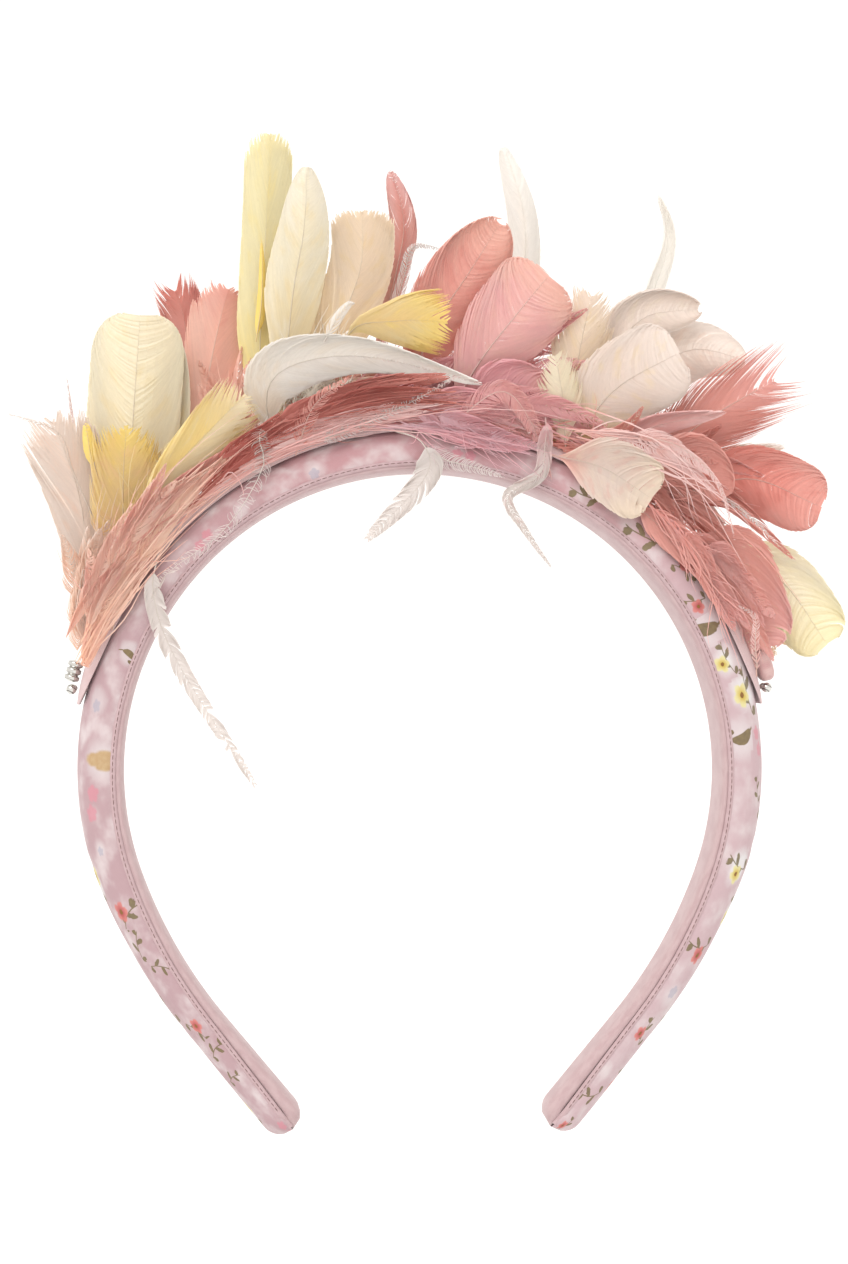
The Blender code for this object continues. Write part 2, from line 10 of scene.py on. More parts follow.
import bmesh
import bpy
import numpy as np
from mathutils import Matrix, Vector


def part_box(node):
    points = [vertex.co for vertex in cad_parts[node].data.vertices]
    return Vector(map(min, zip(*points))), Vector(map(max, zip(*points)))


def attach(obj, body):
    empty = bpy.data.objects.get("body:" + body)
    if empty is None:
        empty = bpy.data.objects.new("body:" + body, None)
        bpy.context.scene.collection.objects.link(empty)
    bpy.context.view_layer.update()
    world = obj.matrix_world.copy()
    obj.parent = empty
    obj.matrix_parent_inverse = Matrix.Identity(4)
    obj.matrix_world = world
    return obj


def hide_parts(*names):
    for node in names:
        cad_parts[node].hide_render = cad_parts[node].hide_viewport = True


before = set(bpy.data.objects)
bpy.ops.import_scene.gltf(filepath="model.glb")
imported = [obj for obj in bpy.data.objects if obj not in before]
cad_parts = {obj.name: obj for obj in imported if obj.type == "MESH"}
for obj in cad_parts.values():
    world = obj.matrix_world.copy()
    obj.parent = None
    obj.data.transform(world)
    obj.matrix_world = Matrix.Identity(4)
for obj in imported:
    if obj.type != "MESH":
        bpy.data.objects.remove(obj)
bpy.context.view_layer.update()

# %% [markdown]
# ## Camera, light and floor
# The photograph is taken level, from about two thirds of a metre away and a little to the left, because
# the inner face of the right arm shows more than that of the left one. A long lens keeps the arch
# undistorted. Feathers are thin and let light through, so the light has to come from all round: a white
# world does most of it, and one very soft lamp high on the left in front gives the folds their shade. A
# sun lights near and far floor alike, so the floor runs into the white world without a visible edge.

# %% Camera
MM = 0.001
CAMERA_PLACE = Vector((-0.045, -0.65, -0.0338))
CAMERA_AIM = Vector((0.0005, 0.0, -0.0338))
FRAME_HEIGHT = 0.2694
SENSOR = 36

bpy.ops.object.camera_add(location=CAMERA_PLACE)
camera = bpy.context.object
camera.rotation_euler = (CAMERA_AIM - CAMERA_PLACE).to_track_quat("-Z", "Y").to_euler()
camera.data.sensor_width = SENSOR
camera.data.lens = SENSOR * (CAMERA_AIM - CAMERA_PLACE).length / FRAME_HEIGHT
camera.data.clip_start = 0.01
bpy.context.scene.camera = camera
print("lens in mm:", round(camera.data.lens, 1))

# %% World, lamp and floor
WORLD_WHITE = (1.0, 0.975, 0.945, 1)
WORLD_STRENGTH = 1.14
LAMP_STRENGTH = 1.3
LAMP_SPREAD = math.radians(40)
FLOOR_HEIGHT = -0.21

bpy.context.scene.view_settings.view_transform = "Standard"
world = bpy.data.worlds.new("studio_white")
bpy.context.scene.world = world
world.use_nodes = True
world.node_tree.nodes["Background"].inputs["Color"].default_value = WORLD_WHITE
world.node_tree.nodes["Background"].inputs["Strength"].default_value = WORLD_STRENGTH

bpy.ops.object.light_add(type="SUN", location=(-0.4, -0.8, 0.9))
key = bpy.context.object
key.name = "soft_key"
key.data.energy = LAMP_STRENGTH
key.data.angle = LAMP_SPREAD
key.rotation_euler = (Vector((0, 0, 0)) - key.location).to_track_quat("-Z", "Y").to_euler()

bpy.ops.mesh.primitive_plane_add(size=30, location=(0, 0, FLOOR_HEIGHT))
floor = bpy.context.object
floor.name = "studio_floor"
print("key strength:", key.data.energy)

# %% [markdown]
# ## Shader maths as Python
# A material is a tree of small nodes, and wiring a formula by hand takes many of them. Here one class
# wraps a socket, so that a sum or a product written in Python adds the Math node that works it out.

# %% A wire and a look


class Wire:
    """One output socket of a look's nodes, which takes part in sums like a number."""

    def __init__(self, look, socket):
        self.look = look
        self.socket = socket

    def __add__(self, other):
        return self.look.maths("ADD", self, other)

    __radd__ = __add__

    def __sub__(self, other):
        return self.look.maths("SUBTRACT", self, other)

    def __rsub__(self, other):
        return self.look.maths("SUBTRACT", other, self)

    def __mul__(self, other):
        return self.look.maths("MULTIPLY", self, other)

    __rmul__ = __mul__

    def __truediv__(self, other):
        return self.look.maths("DIVIDE", self, other)

    def __rtruediv__(self, other):
        return self.look.maths("DIVIDE", other, self)

    def __pow__(self, other):
        return self.look.maths("POWER", self, other)


class Look:
    """A material that is being wired."""

    def __init__(self, name):
        self.material = bpy.data.materials.new(name)
        self.material.use_nodes = True
        self.tree = self.material.node_tree
        self.tree.nodes.clear()

    def node(self, kind, settings=None, inputs=(), output=0):
        made = self.tree.nodes.new(kind)
        for key, value in (settings or {}).items():
            setattr(made, key, value)
        pairs = inputs.items() if isinstance(inputs, dict) else enumerate(inputs)
        for key, value in pairs:
            if isinstance(value, Wire):
                self.tree.links.new(value.socket, made.inputs[key])
            else:
                made.inputs[key].default_value = value
        return Wire(self, made.outputs[output])

    def maths(self, operation, *values):
        return self.node("ShaderNodeMath", {"operation": operation}, values)

    def principled(self, sockets):
        return self.node("ShaderNodeBsdfPrincipled", None, sockets)

    def blend(self, factor, first, second):
        """A colour that goes from the first to the second as the factor goes from 0 to 1."""
        settings = {"data_type": "RGBA", "clamp_factor": True}
        return self.node("ShaderNodeMix", settings, {0: factor, 6: first, 7: second}, 2)

    def shade(self, colour, amount):
        """The colour made darker or lighter by this factor."""
        return self.node("ShaderNodeVectorMath", {"operation": "SCALE"}, {0: colour, 3: amount})

    def ramp(self, value, low, high):
        """Goes smoothly from 0 at low to 1 at high."""
        settings = {"interpolation_type": "SMOOTHSTEP", "clamp": True}
        return self.node("ShaderNodeMapRange", settings, {0: value, 1: low, 2: high, 3: 0.0, 4: 1.0})

    def split(self, vector):
        """The three numbers of a vector."""
        return [self.node("ShaderNodeSeparateXYZ", None, [vector], k) for k in range(3)]

    def fact(self, name):
        """The three numbers that a mesh keeps under this name at each point."""
        return self.split(self.node("ShaderNodeAttribute", {"attribute_name": name}, (), "Vector"))

    def noise(self, vector, scale, detail=2.0):
        return self.node("ShaderNodeTexNoise", None, {"Vector": vector, "Scale": scale, "Detail": detail})

    def join(self, x, y, z):
        return self.node("ShaderNodeCombineXYZ", None, [x, y, z])

    def finish(self, surface):
        output = self.tree.nodes.new("ShaderNodeOutputMaterial")
        self.tree.links.new(surface.socket, output.inputs["Surface"])
        return self.material


LAMP_SHARE = 0.73


def paint(red, green, blue):
    """A colour judged on a screen, as linear numbers, less what the lamp adds to the white world."""
    linear = [((value / 255 + 0.055) / 1.055) ** 2.4 for value in (red, green, blue)]
    return tuple(LAMP_SHARE * value for value in linear) + (1,)


floor_look = Look("pale_floor")
pale = floor_look.principled({"Base Color": (0.93, 0.93, 0.93, 1), "Roughness": 0.9})
floor.data.materials.append(floor_look.finish(pale))
print("floor look has", len(floor_look.tree.nodes), "nodes")

# %% [markdown]
# ## The shape of the arch and of the plume
# Every solid here came from a few named sizes: an arch that turns in two bends, and feathers that stand
# in thin layers from front to back. The cloth and the barbs have to sit exactly where those solids are.
# The cells below hold the same sizes and the same small formulas, for many points at once.

# %% Sizes of the arch
INNER_R = 0.0632
CROWN_TURN = math.radians(110)
LOWER_R = 0.1030
LOWER_TURN = math.radians(20)
LEG_LENGTH = 0.0270
BAND_T = 0.0099
BAND_W = 0.0180
LINING_T = 0.0022
DOME_POWER = 2.5
SEAM_GAP = 0.0003
TIP_SQUARE = 0.25
ARM_AT = (0, 0.45, 0.62, 0.72, 0.85, 0.94, 1)
ARM_THICKNESS = (1, 1, 0.97, 0.88, 0.83, 0.87, 0.88)
ARM_WIDTH = (1, 0.92, 0.84, 0.78, 0.72, 0.68, 0.66)
ARM_LINING = (0.90, 0.95, 1.10, 1.20, 1.35, 1.70, 1.95)
CROWN_LENGTH = INNER_R * CROWN_TURN
LOWER_LENGTH = LOWER_R * LOWER_TURN
ARM_LENGTH = CROWN_LENGTH + LOWER_LENGTH + LEG_LENGTH
TIP_R = BAND_T * ARM_THICKNESS[-1] / 2


def inner_face(length):
    """x, z and turn of the arch's inner face, this far from the crown. Below zero it is the left arm."""
    away = np.abs(length)
    first = np.minimum(away, CROWN_LENGTH) / INNER_R
    turn = first + np.clip(away - CROWN_LENGTH, 0, LOWER_LENGTH) / LOWER_R
    straight = np.maximum(away - CROWN_LENGTH - LOWER_LENGTH, 0)
    x = INNER_R * np.sin(first) + LOWER_R * (np.sin(turn) - np.sin(first)) + straight * np.cos(turn)
    z = INNER_R * (np.cos(first) - 1) + LOWER_R * (np.cos(turn) - np.cos(first)) - straight * np.sin(turn)
    way = np.sign(length)
    return way * x, z, way * turn


def section(length):
    """Thickness, half width, lining and roundness of the band, this far from the crown."""
    share = np.abs(length) / ARM_LENGTH
    into = np.clip((np.abs(length) - ARM_LENGTH + TIP_R) / TIP_R, 0, 1)
    roundness = np.sqrt(1 - into * into)
    half_width = BAND_W / 2 * np.interp(share, ARM_AT, ARM_WIDTH)
    half_width = half_width * (TIP_SQUARE + (1 - TIP_SQUARE) * roundness)
    thickness = BAND_T * np.interp(share, ARM_AT, ARM_THICKNESS)
    return thickness, half_width, LINING_T * np.interp(share, ARM_AT, ARM_LINING), roundness


def on_arch(length, across, up):
    """Carries points to their place: along the arch, front to back, and outwards from its inner face."""
    x, z, turn = inner_face(length)
    return np.stack([x + np.sin(turn) * up, across, z + np.cos(turn) * up], axis=-1)


print("each arm is", round(ARM_LENGTH / MM, 1), "mm long")

# %% Sizes of the plume
STRIP_GAP = 0.0005
SEAT_GAP = 0.0003
STRIP_T = 0.0012
STRIP_HALF_W = 0.0072
STRIP_END = 79.0
PLUME_H = 0.0650
FEATHER_HALF_W = 0.0100
BLADE_T = 0.0008
QUILL_HALF_W = 0.0009
SWAY = 0.0040
SWAY_WAVES = 2.2
SWAY_START = 0.6
CUP_SHARE = 0.6
QUILL_SHARE = 0.14
RISE_POWER = 1.3
FRONT_LAYERS = 2
STANDING_LAYERS = 10
FRONT_CLEARANCE = 0.00075
LAYER_STEP = 0.0014
FRONT_LEAN = -0.42
BACK_LEAN = 0.38


def dome(share):
    return (1 - np.minimum(np.abs(share), 1) ** DOME_POWER) ** (1 / DOME_POWER)


def strip_top(across, angle=0.0):
    """Distance from the arch's centre to the top of the felt strip."""
    thickness, half_width, lining, _ = section(INNER_R * np.radians(np.abs(angle)))
    height = thickness - lining - SEAM_GAP
    return INNER_R + lining + SEAM_GAP + height * dome(across / half_width) + STRIP_GAP + STRIP_T


STRIP_R = float(strip_top(0.0))


def front_start(layer):
    return -(STRIP_HALF_W + SEAT_GAP + BLADE_T / 2) - LAYER_STEP * (FRONT_LAYERS - 1 - layer)


def layer_start(layer):
    return LAYER_STEP * (layer - FRONT_LAYERS - (STANDING_LAYERS - 1) / 2)


def layer_lean(layer):
    return FRONT_LEAN + (BACK_LEAN - FRONT_LEAN) * (layer - FRONT_LAYERS) / (STANDING_LAYERS - 1)


def layer_foot(layer):
    """Height of a quill's foot over the strip's crown."""
    if layer < FRONT_LAYERS:
        return float(strip_top(STRIP_HALF_W)) - STRIP_T / 2 - STRIP_R
    return float(strip_top(abs(layer_start(layer)) - BLADE_T / 2)) + SEAT_GAP - STRIP_R


def layer_depth(layer, height):
    """How far to the front (below zero) or to the back a layer is, at these heights over the strip."""
    if layer >= FRONT_LAYERS:
        return layer_start(layer) + layer_lean(layer) * np.maximum(height, 0)
    foot = layer_foot(layer)
    start = front_start(layer)
    clearance = FRONT_CLEARANCE + BLADE_T / 2 + LAYER_STEP * (FRONT_LAYERS - 1 - layer)
    reach = BAND_W / 2 + clearance
    up = (height + STRIP_R - INNER_R - LINING_T) / (BAND_T - LINING_T + clearance)
    hang = np.where(up > 0, reach * dome(np.maximum(up, 0)), reach)
    return np.where(height > foot, start + layer_lean(layer) * (height - foot), -np.maximum(hang, -start))


def sway(angle, height):
    """A slow wave through the whole plume."""
    return SWAY * np.sin(SWAY_WAVES * angle + SWAY_START) * np.maximum(height, 0) / PLUME_H


def cup_room(height):
    return CUP_SHARE * (BACK_LEAN - FRONT_LEAN) / (STANDING_LAYERS - 1) * np.maximum(height, 0)


def around(angle, height):
    """x and z at this angle in radians from the crown and this height over the strip."""
    radius = STRIP_R + height
    return np.stack([radius * np.sin(angle), radius * np.cos(angle) - INNER_R], axis=-1)


print("the strip's top is", round(STRIP_R / MM, 2), "mm from the arch's centre")

# %% [markdown]
# ## Two starting shapes for everything thin
# A feather's vane is hundreds of barbs: thin ribbons that leave the rib side by side. One barb is a
# narrow grid, and an Array repeats it into a flat comb. Cloth and hems are plain grids. A quill is a
# cylinder whose side edges are subdivided into rings. Each of them starts flat or straight, and its
# points are then carried to their place.

# %% Flat comb, plain grid and straight tube


def clear_selection():
    bpy.ops.object.select_all(action="DESELECT")


def repeat(piece, count, step):
    """Repeats a piece by this step."""
    array = piece.modifiers.new("Repeat", "ARRAY")
    array.count = count
    array.use_relative_offset = False
    array.use_constant_offset = True
    array.constant_offset_displace = step
    bpy.ops.object.modifier_apply(modifier=array.name)


def comb(name, barbs, steps):
    """A flat comb of ribbons. Returns it with each point's ribbon, place along it and side (-1 or 1)."""
    clear_selection()
    bpy.ops.mesh.primitive_grid_add(x_subdivisions=steps, y_subdivisions=1, size=1)
    piece = bpy.context.object
    piece.name = name
    repeat(piece, barbs, (0, 2, 0))
    flat = points_of(piece)
    number = np.rint(flat[:, 1] / 2).astype(int)
    return piece, number, flat[:, 0] + 0.5, np.sign(flat[:, 1] - 2 * number)


def grid(name, columns, rows):
    """A flat grid. Returns it with each point's share of the way along x and y."""
    clear_selection()
    bpy.ops.mesh.primitive_grid_add(x_subdivisions=columns, y_subdivisions=rows, size=1)
    piece = bpy.context.object
    piece.name = name
    flat = points_of(piece)
    return piece, flat[:, 0] + 0.5, flat[:, 1] + 0.5


def tube(name, sides, cuts):
    """A straight tube. Returns it with each point's share of the way up and its turn round the axis."""
    clear_selection()
    bpy.ops.mesh.primitive_cylinder_add(vertices=sides, radius=1, depth=1)
    piece = bpy.context.object
    piece.name = name
    bpy.ops.object.mode_set(mode="EDIT")
    shape = bmesh.from_edit_mesh(piece.data)
    bpy.ops.mesh.select_all(action="DESELECT")
    for edge in shape.edges:
        edge.select_set(abs(edge.verts[0].co.z - edge.verts[1].co.z) > 0.5)
    bmesh.update_edit_mesh(piece.data)
    bpy.ops.mesh.subdivide(number_cuts=cuts)
    bpy.ops.object.mode_set(mode="OBJECT")
    straight = points_of(piece)
    return piece, straight[:, 2] + 0.5, np.arctan2(straight[:, 1], straight[:, 0])


def points_of(piece):
    found = np.empty(len(piece.data.vertices) * 3)
    piece.data.vertices.foreach_get("co", found)
    return found.reshape(-1, 3)


def carry(piece, places, **facts):
    """Moves a piece's points to their places and keeps up to three numbers at each point under a name."""
    piece.data.vertices.foreach_set("co", np.ascontiguousarray(places, np.float32).ravel())
    for name, columns in facts.items():
        kept = piece.data.attributes.new(name, "FLOAT_VECTOR", "POINT")
        values = np.stack([np.broadcast_to(column, len(places)) for column in columns], axis=-1)
        kept.data.foreach_set("vector", np.ascontiguousarray(values, np.float32).ravel())
    piece.data.update()
    return piece


def join(pieces, name):
    """Joins pieces into the first one."""
    clear_selection()
    for piece in pieces:
        piece.select_set(True)
    bpy.context.view_layer.objects.active = pieces[0]
    bpy.ops.object.join()
    pieces[0].name = name
    return pieces[0]


def smooth(piece, degrees=60):
    clear_selection()
    piece.select_set(True)
    bpy.context.view_layer.objects.active = piece
    bpy.ops.object.shade_smooth_by_angle(angle=math.radians(degrees))
    return piece


def unit(vectors):
    return vectors / np.maximum(np.linalg.norm(vectors, axis=-1, keepdims=True), 1e-12)


def beside(line):
    """The direction across a line, seen from the front."""
    return unit(np.stack([line[:, 2], np.zeros(len(line)), -line[:, 0]], axis=-1))


def eased(values):
    values = np.clip(values, 0, 1)
    return values * values * (3 - 2 * values)


print("starting shapes ready")

# %% [markdown]
# ## Feathers
# Each row is one feather: its vane, its layer from front to back, its half width, how it cups, and its
# rib as angles from the crown and heights over the strip. The colours are the dye at the root, in the
# middle and at the tip; where red_shadow stands among them, its dark red is partly the feathers' own dye
# and partly painted shade. Barbs is the distance from barb to barb in millimetres, ribbon the width of
# one, and frizz says how untidy they are. Splits are the places where the vane has come apart. Lead is
# how far a barb runs forward along the rib, bare the share of the rib that has no barbs, and pick how
# much of the tip's dye each side takes on all the way.

# %% Dyes, vanes and the table of feathers
DYES = {
    "bright_white": (254, 250, 243),
    "white": (240, 233, 223),
    "ivory": (242, 234, 214),
    "cream": (238, 225, 190),
    "pale_yellow": (237, 223, 164),
    "bright_yellow": (252, 220, 100),
    "golden": (238, 204, 128),
    "beige": (242, 220, 190),
    "grey_strand": (217, 206, 199),
    "grey_white": (214, 205, 200),
    "pale_blush": (236, 219, 206),
    "blush": (228, 206, 190),
    "peach": (246, 204, 178),
    "apricot": (248, 184, 146),
    "salmon": (238, 176, 154),
    "coral": (220, 140, 126),
    "deep_coral": (212, 112, 98),
    # red_shadow is partly the feathers' own dark red and partly painted shade: it stands for the shaded
    # hollows low in the plume.
    "red_shadow": (158, 56, 46),
    "dusty_pink": (227, 159, 153),
    "pale_pink": (240, 200, 194),
    "rose": (223, 143, 149),
    "mauve": (208, 164, 174),
}


def vane_form(rise, fall, power, lead, fingers=0, depth=0.0, corner=0.0):
    """How a vane widens and narrows, how far its barbs lead forward, and how its end is cut."""
    return dict(rise=rise, fall=fall, power=power, lead=lead, fingers=fingers, depth=depth, corner=corner)


VANES = {
    "petal": vane_form(0.55, 0.50, 2.0, 0.72),
    "broad": vane_form(0.60, 0.76, 3.0, 0.80),
    "oval": vane_form(0.40, 0.45, 1.8, 0.74),
    "pointed": vane_form(0.50, 0.35, 1.4, 0.66),
    "shield": vane_form(0.36, 0.42, 1.2, 0.52),
    "lock": vane_form(0.25, 0.30, 1.3, 0.42),
    "clipped": vane_form(0.36, 1.00, 1.0, 0.60, fingers=5, depth=0.05, corner=0.06),
    "fringed": vane_form(0.65, 1.00, 1.0, 0.55, fingers=6, depth=0.15, corner=0.17),
    "fan": vane_form(0.95, 1.00, 1.0, 0.58, fingers=6, depth=0.10, corner=0.05),
    "spray": vane_form(0.60, 1.00, 1.0, 0.55, fingers=6, depth=0.34, corner=0.05),
}
FINGER_JAGS = np.array((0.35, 0.0, 0.5, 0.1, 0.3, 0.05))
MOST_JAG = 0.85
JAG_AT_SIDES = 0.4
ALONG_STEP = 0.01
BARE_FOOT = 0.05


def feather(name, layer, vane, half, cup, rib, dye, **own):
    """One row of the table. What it doesn't say is as on most of these feathers."""
    lead = VANES[vane]["lead"]
    usual = dict(barbs=0.42, ribbon=0.46, frizz=0.3, splits=2, lead=lead, pick=(0.0, 0.0), bare=BARE_FOOT)
    usual.update(own)
    return dict(usual, name=name, layer=layer, vane=vane, half=half, cup=cup, rib=rib, dye=dye)


FEATHERS = (
    feather("beige_drop", 0, "broad", 0.70, 1, ((22, None), (30.5, -0.01), (40, 0.00)),
            ("coral", "blush", "beige"), frizz=0.08, splits=1),
    feather("rose_hackle_arc", 1, "lock", 0.26, 1, ((3.5, None), (11, 0.10), (17, 0.03), (23.5, -0.12)),
            ("rose", "dusty_pink", "pale_pink"), frizz=1.2, barbs=0.32, ribbon=0.15, splits=6, lead=0.18),
    feather("hanging_feather_mid", 0, "oval", 0.30, -1,
            ((-5, None), (-0.5, -0.09), (0, -0.20), (-15, -0.385)),
            ("grey_strand", "grey_strand", "grey_strand"), barbs=0.5, ribbon=0.36, frizz=0.5, splits=5,
            lead=0.3, bare=0.4),
    feather("hanging_feather_left", 0, "oval", 0.20, 1,
            ((-51, None), (-57, -0.11), (-66, -0.28), (-96, -0.61)),
            ("grey_strand", "grey_strand", "grey_strand"), barbs=0.5, ribbon=0.36, frizz=0.5, splits=6,
            lead=0.13, bare=0.16),
    feather("beige_serrated", 0, "lock", 0.21, 1, ((-22, None), (-17, 0.08), (-11, 0.14)),
            ("deep_coral", "coral", "coral"), splits=6, lead=0.2, ribbon=0.2, frizz=1.0),
    feather("coral_lock_low", 1, "lock", 0.34, -1, ((37, None), (52, -0.03), (67, 0.01)),
            ("coral", "coral", "dusty_pink"), frizz=0.8, splits=4),
    feather("coral_down_left", 1, "lock", 0.32, -1, ((-65, None), (-47, 0.05), (-28, 0.07)),
            ("apricot", "coral", "coral"), frizz=0.9, splits=5),
    feather("yellow_split", 2, "fan", 0.60, 1, ((-54, None), (-43, 0.10), (-32, 0.15), (-24.5, 0.20)),
            ("golden", "bright_yellow", "cream"), frizz=0.9, splits=9, pick=(0.45, 0.9)),
    # coral_inner_left lies in the shaded hollow under the white scythe; its red_shadow root and middle are
    # partly painted shade.
    feather("coral_inner_left", 2, "lock", 0.26, 1, ((-20, None), (-8, 0.09), (4, 0.13)),
            ("red_shadow", "red_shadow", "deep_coral"), frizz=0.8, splits=4),
    feather("rose_inner_right", 2, "pointed", 0.34, -1, ((-5, None), (6, 0.055), (19, 0.02)),
            ("rose", "rose", "pale_pink"), frizz=0.5),
    feather("coral_mass_right", 2, "petal", 0.54, -1, ((35, None), (40, 0.18), (48, 0.18)),
            ("coral", "coral", "coral"), frizz=0.6, splits=4),
    feather("pink_lock_end", 2, "lock", 0.17, 1, ((60, None), (67, 0.03), (73, 0.05)),
            ("coral", "dusty_pink", "dusty_pink"), frizz=0.9),
    feather("white_scythe", 3, "shield", 0.60, -1,
            ((-25, None), (-22.5, 0.18), (-17, 0.23), (-7, 0.20), (9, 0.12)),
            ("beige", "white", "bright_white"), frizz=0.1, splits=2),
    feather("cream_ruffle", 3, "fringed", 0.47, 1, ((24, None), (20.5, 0.14), (17, 0.28)),
            ("peach", "cream", "cream"), frizz=0.9, splits=5),
    feather("coral_petal_small", 3, "pointed", 0.30, -1, ((32, None), (33, 0.17), (40, 0.37)),
            ("coral", "dusty_pink", "pale_pink"), frizz=0.3),
    feather("peach_down_left", 3, "lock", 0.44, -1, ((-70, None), (-61, 0.07), (-50, 0.12)),
            ("apricot", "peach", "peach"), frizz=1.0, splits=6),
    feather("yellow_fringe", 4, "fan", 0.70, 1, ((-14, None), (-10, 0.28), (-3.7, 0.31), (4, 0.31)),
            ("pale_yellow", "golden", "bright_yellow"), frizz=0.7, splits=7, bare=0.34),
    feather("rose_lower", 4, "petal", 0.54, -1, ((7, None), (11, 0.13), (19, 0.16)),
            ("rose", "rose", "dusty_pink"), frizz=0.5, splits=3),
    feather("peach_petal_front", 4, "broad", 0.92, 1, ((25, None), (26.5, 0.23), (31.5, 0.45)),
            ("golden", "blush", "pale_blush"), frizz=0.1, splits=1),
    feather("pink_petal_low", 4, "broad", 0.84, -1, ((49, None), (56, 0.07), (71, 0.03)),
            ("coral", "dusty_pink", "dusty_pink"), frizz=0.2, splits=2),
    feather("pink_large_right", 5, "broad", 0.94, 1, ((4, None), (8, 0.20), (12, 0.39), (14.3, 0.52)),
            ("rose", "dusty_pink", "salmon"), frizz=0.55, splits=0),
    feather("pink_fan_right", 5, "spray", 0.84, -1, ((36, None), (39, 0.32), (43.5, 0.70)),
            ("coral", "dusty_pink", "dusty_pink"), frizz=0.8, splits=4, barbs=0.36, ribbon=0.34),
    feather("golden_vane", 5, "clipped", 0.70, -1, ((-57, None), (-47, 0.18), (-40.5, 0.33)),
            ("apricot", "golden", "bright_yellow"), frizz=0.9, splits=7),
    feather("coral_large_up", 6, "petal", 0.88, -1, ((-4, None), (1.3, 0.29), (5.3, 0.48), (8.3, 0.67)),
            ("deep_coral", "coral", "salmon"), frizz=0.55, splits=0),
    feather("blush_fringe_mid", 6, "fringed", 0.66, 1, ((25, None), (21, 0.28), (19.5, 0.54)),
            ("golden", "beige", "blush"), frizz=0.5, splits=3),
    # The red_shadow root of coral_pointed_right is partly painted shade, low in the plume on the right.
    feather("coral_pointed_right", 6, "broad", 0.76, 1, ((43, None), (48, 0.28), (57, 0.43)),
            ("red_shadow", "deep_coral", "coral"), frizz=0.2, splits=0),
    feather("blush_fan_left", 7, "fan", 0.80, 1, ((-70, None), (-59.5, 0.11), (-51, 0.29), (-46, 0.54)),
            ("apricot", "blush", "blush"), frizz=0.3, splits=2),
    feather("cream_pointed", 7, "oval", 0.62, 1, ((-24, None), (-15.5, 0.44), (-12.3, 0.66), (-10.7, 0.87)),
            ("golden", "cream", "ivory"), frizz=0.05, splits=0),
    feather("blush_petal_top", 7, "petal", 0.60, -1, ((26, None), (25, 0.34), (26.5, 0.52), (31.5, 0.64)),
            ("cream", "pale_blush", "pale_blush"), frizz=0.1, splits=0),
    feather("cream_petal_left", 8, "broad", 1.00, 1, ((-57, None), (-41.5, 0.28), (-31.5, 0.61)),
            ("golden", "cream", "cream"), frizz=0.08, splits=0),
    feather("beige_square", 8, "clipped", 0.68, -1, ((-22, None), (-9.5, 0.37), (-6.5, 0.54), (-5.8, 0.72)),
            ("golden", "beige", "beige"), frizz=0.15, splits=1),
    feather("blush_petal_right", 8, "petal", 0.72, 1, ((28, None), (30, 0.32), (33, 0.51), (39, 0.60)),
            ("peach", "pale_blush", "pale_blush"), frizz=0.1, splits=1),
    feather("yellow_petal_low", 8, "broad", 0.76, 1, ((52, None), (61.5, 0.19), (73.5, 0.27)),
            ("pale_yellow", "cream", "pale_yellow"), frizz=0.1, splits=1),
    feather("cream_petal_back", 9, "petal", 0.44, -1, ((-50, None), (-38, 0.20), (-29.5, 0.48)),
            ("golden", "cream", "ivory"), frizz=0.2),
    feather("yellow_tall", 9, "clipped", 0.52, 1, ((-28, None), (-19.5, 0.42), (-15.5, 0.74), (-13, 1.04)),
            ("bright_yellow", "pale_yellow", "pale_yellow"), frizz=0.3, splits=2),
    feather("blush_fringe_right", 9, "fringed", 0.30, -1, ((42, None), (42, 0.21), (50, 0.51)),
            ("blush", "pale_blush", "pale_blush"), frizz=0.7),
    feather("coral_petal_left", 10, "fringed", 0.70, 1, ((-43, None), (-26, 0.40), (-21, 0.59)),
            ("salmon", "salmon", "coral"), frizz=0.4, splits=3),
    feather("pink_blade_top", 10, "petal", 0.32, 1, ((-10, None), (-2.5, 0.50), (-1.3, 0.69), (-2.3, 0.87)),
            ("coral", "dusty_pink", "coral"), frizz=0.8, splits=6, barbs=0.34, ribbon=0.2),
    feather("white_crescent_top", 10, "lock", 0.22, -1, ((30, None), (27, 0.58), (26, 0.84), (23.3, 0.98)),
            ("bright_white", "bright_white", "bright_white"), frizz=0.1, splits=0, barbs=0.6, lead=0.3),
    feather("coral_spray_left", 11, "spray", 0.49, -1, ((-44, None), (-28.5, 0.46), (-26.5, 0.72)),
            ("coral", "coral", "deep_coral"), frizz=0.8, splits=3, barbs=0.34, ribbon=0.3),
    feather("white_blade_top", 11, "petal", 0.36, 1, ((14, None), (13, 0.43), (11.5, 0.75), (8.5, 1.01)),
            ("white", "white", "bright_white"), frizz=0.15, splits=3),
)
print(len(FEATHERS), "feathers")

# %% [markdown]
# ### Where a point of a feather lies
# A point of the vane is given by its share of the way along the rib and how far it is across. The rib is
# a smooth curve through the row's points, the width follows the vane's outline, and the depth follows
# the layer, so no feather runs through its neighbour.

# %% From rib shares to places


def rib_points(row):
    foot = layer_foot(row["layer"])
    angles = np.radians([angle for angle, _ in row["rib"]])
    heights = np.array([foot if height is None else height * PLUME_H for _, height in row["rib"]])
    return around(angles, heights)


def rib_curve(points, share):
    """Points on the smooth curve through the rib's points, at these shares of its way."""
    place = share * (len(points) - 1)
    k = np.clip(place.astype(int), 0, len(points) - 2)
    u = (place - k)[:, None]
    longer = np.vstack([2 * points[:1] - points[1:2], points, 2 * points[-1:] - points[-2:-1]])
    before, a, b, after = longer[k], longer[k + 1], longer[k + 2], longer[k + 3]
    return 0.5 * (
        2 * a + (b - before) * u + (2 * before - 5 * a + 4 * b - after) * u ** 2
        + (3 * a - before - 3 * b + after) * u ** 3
    )


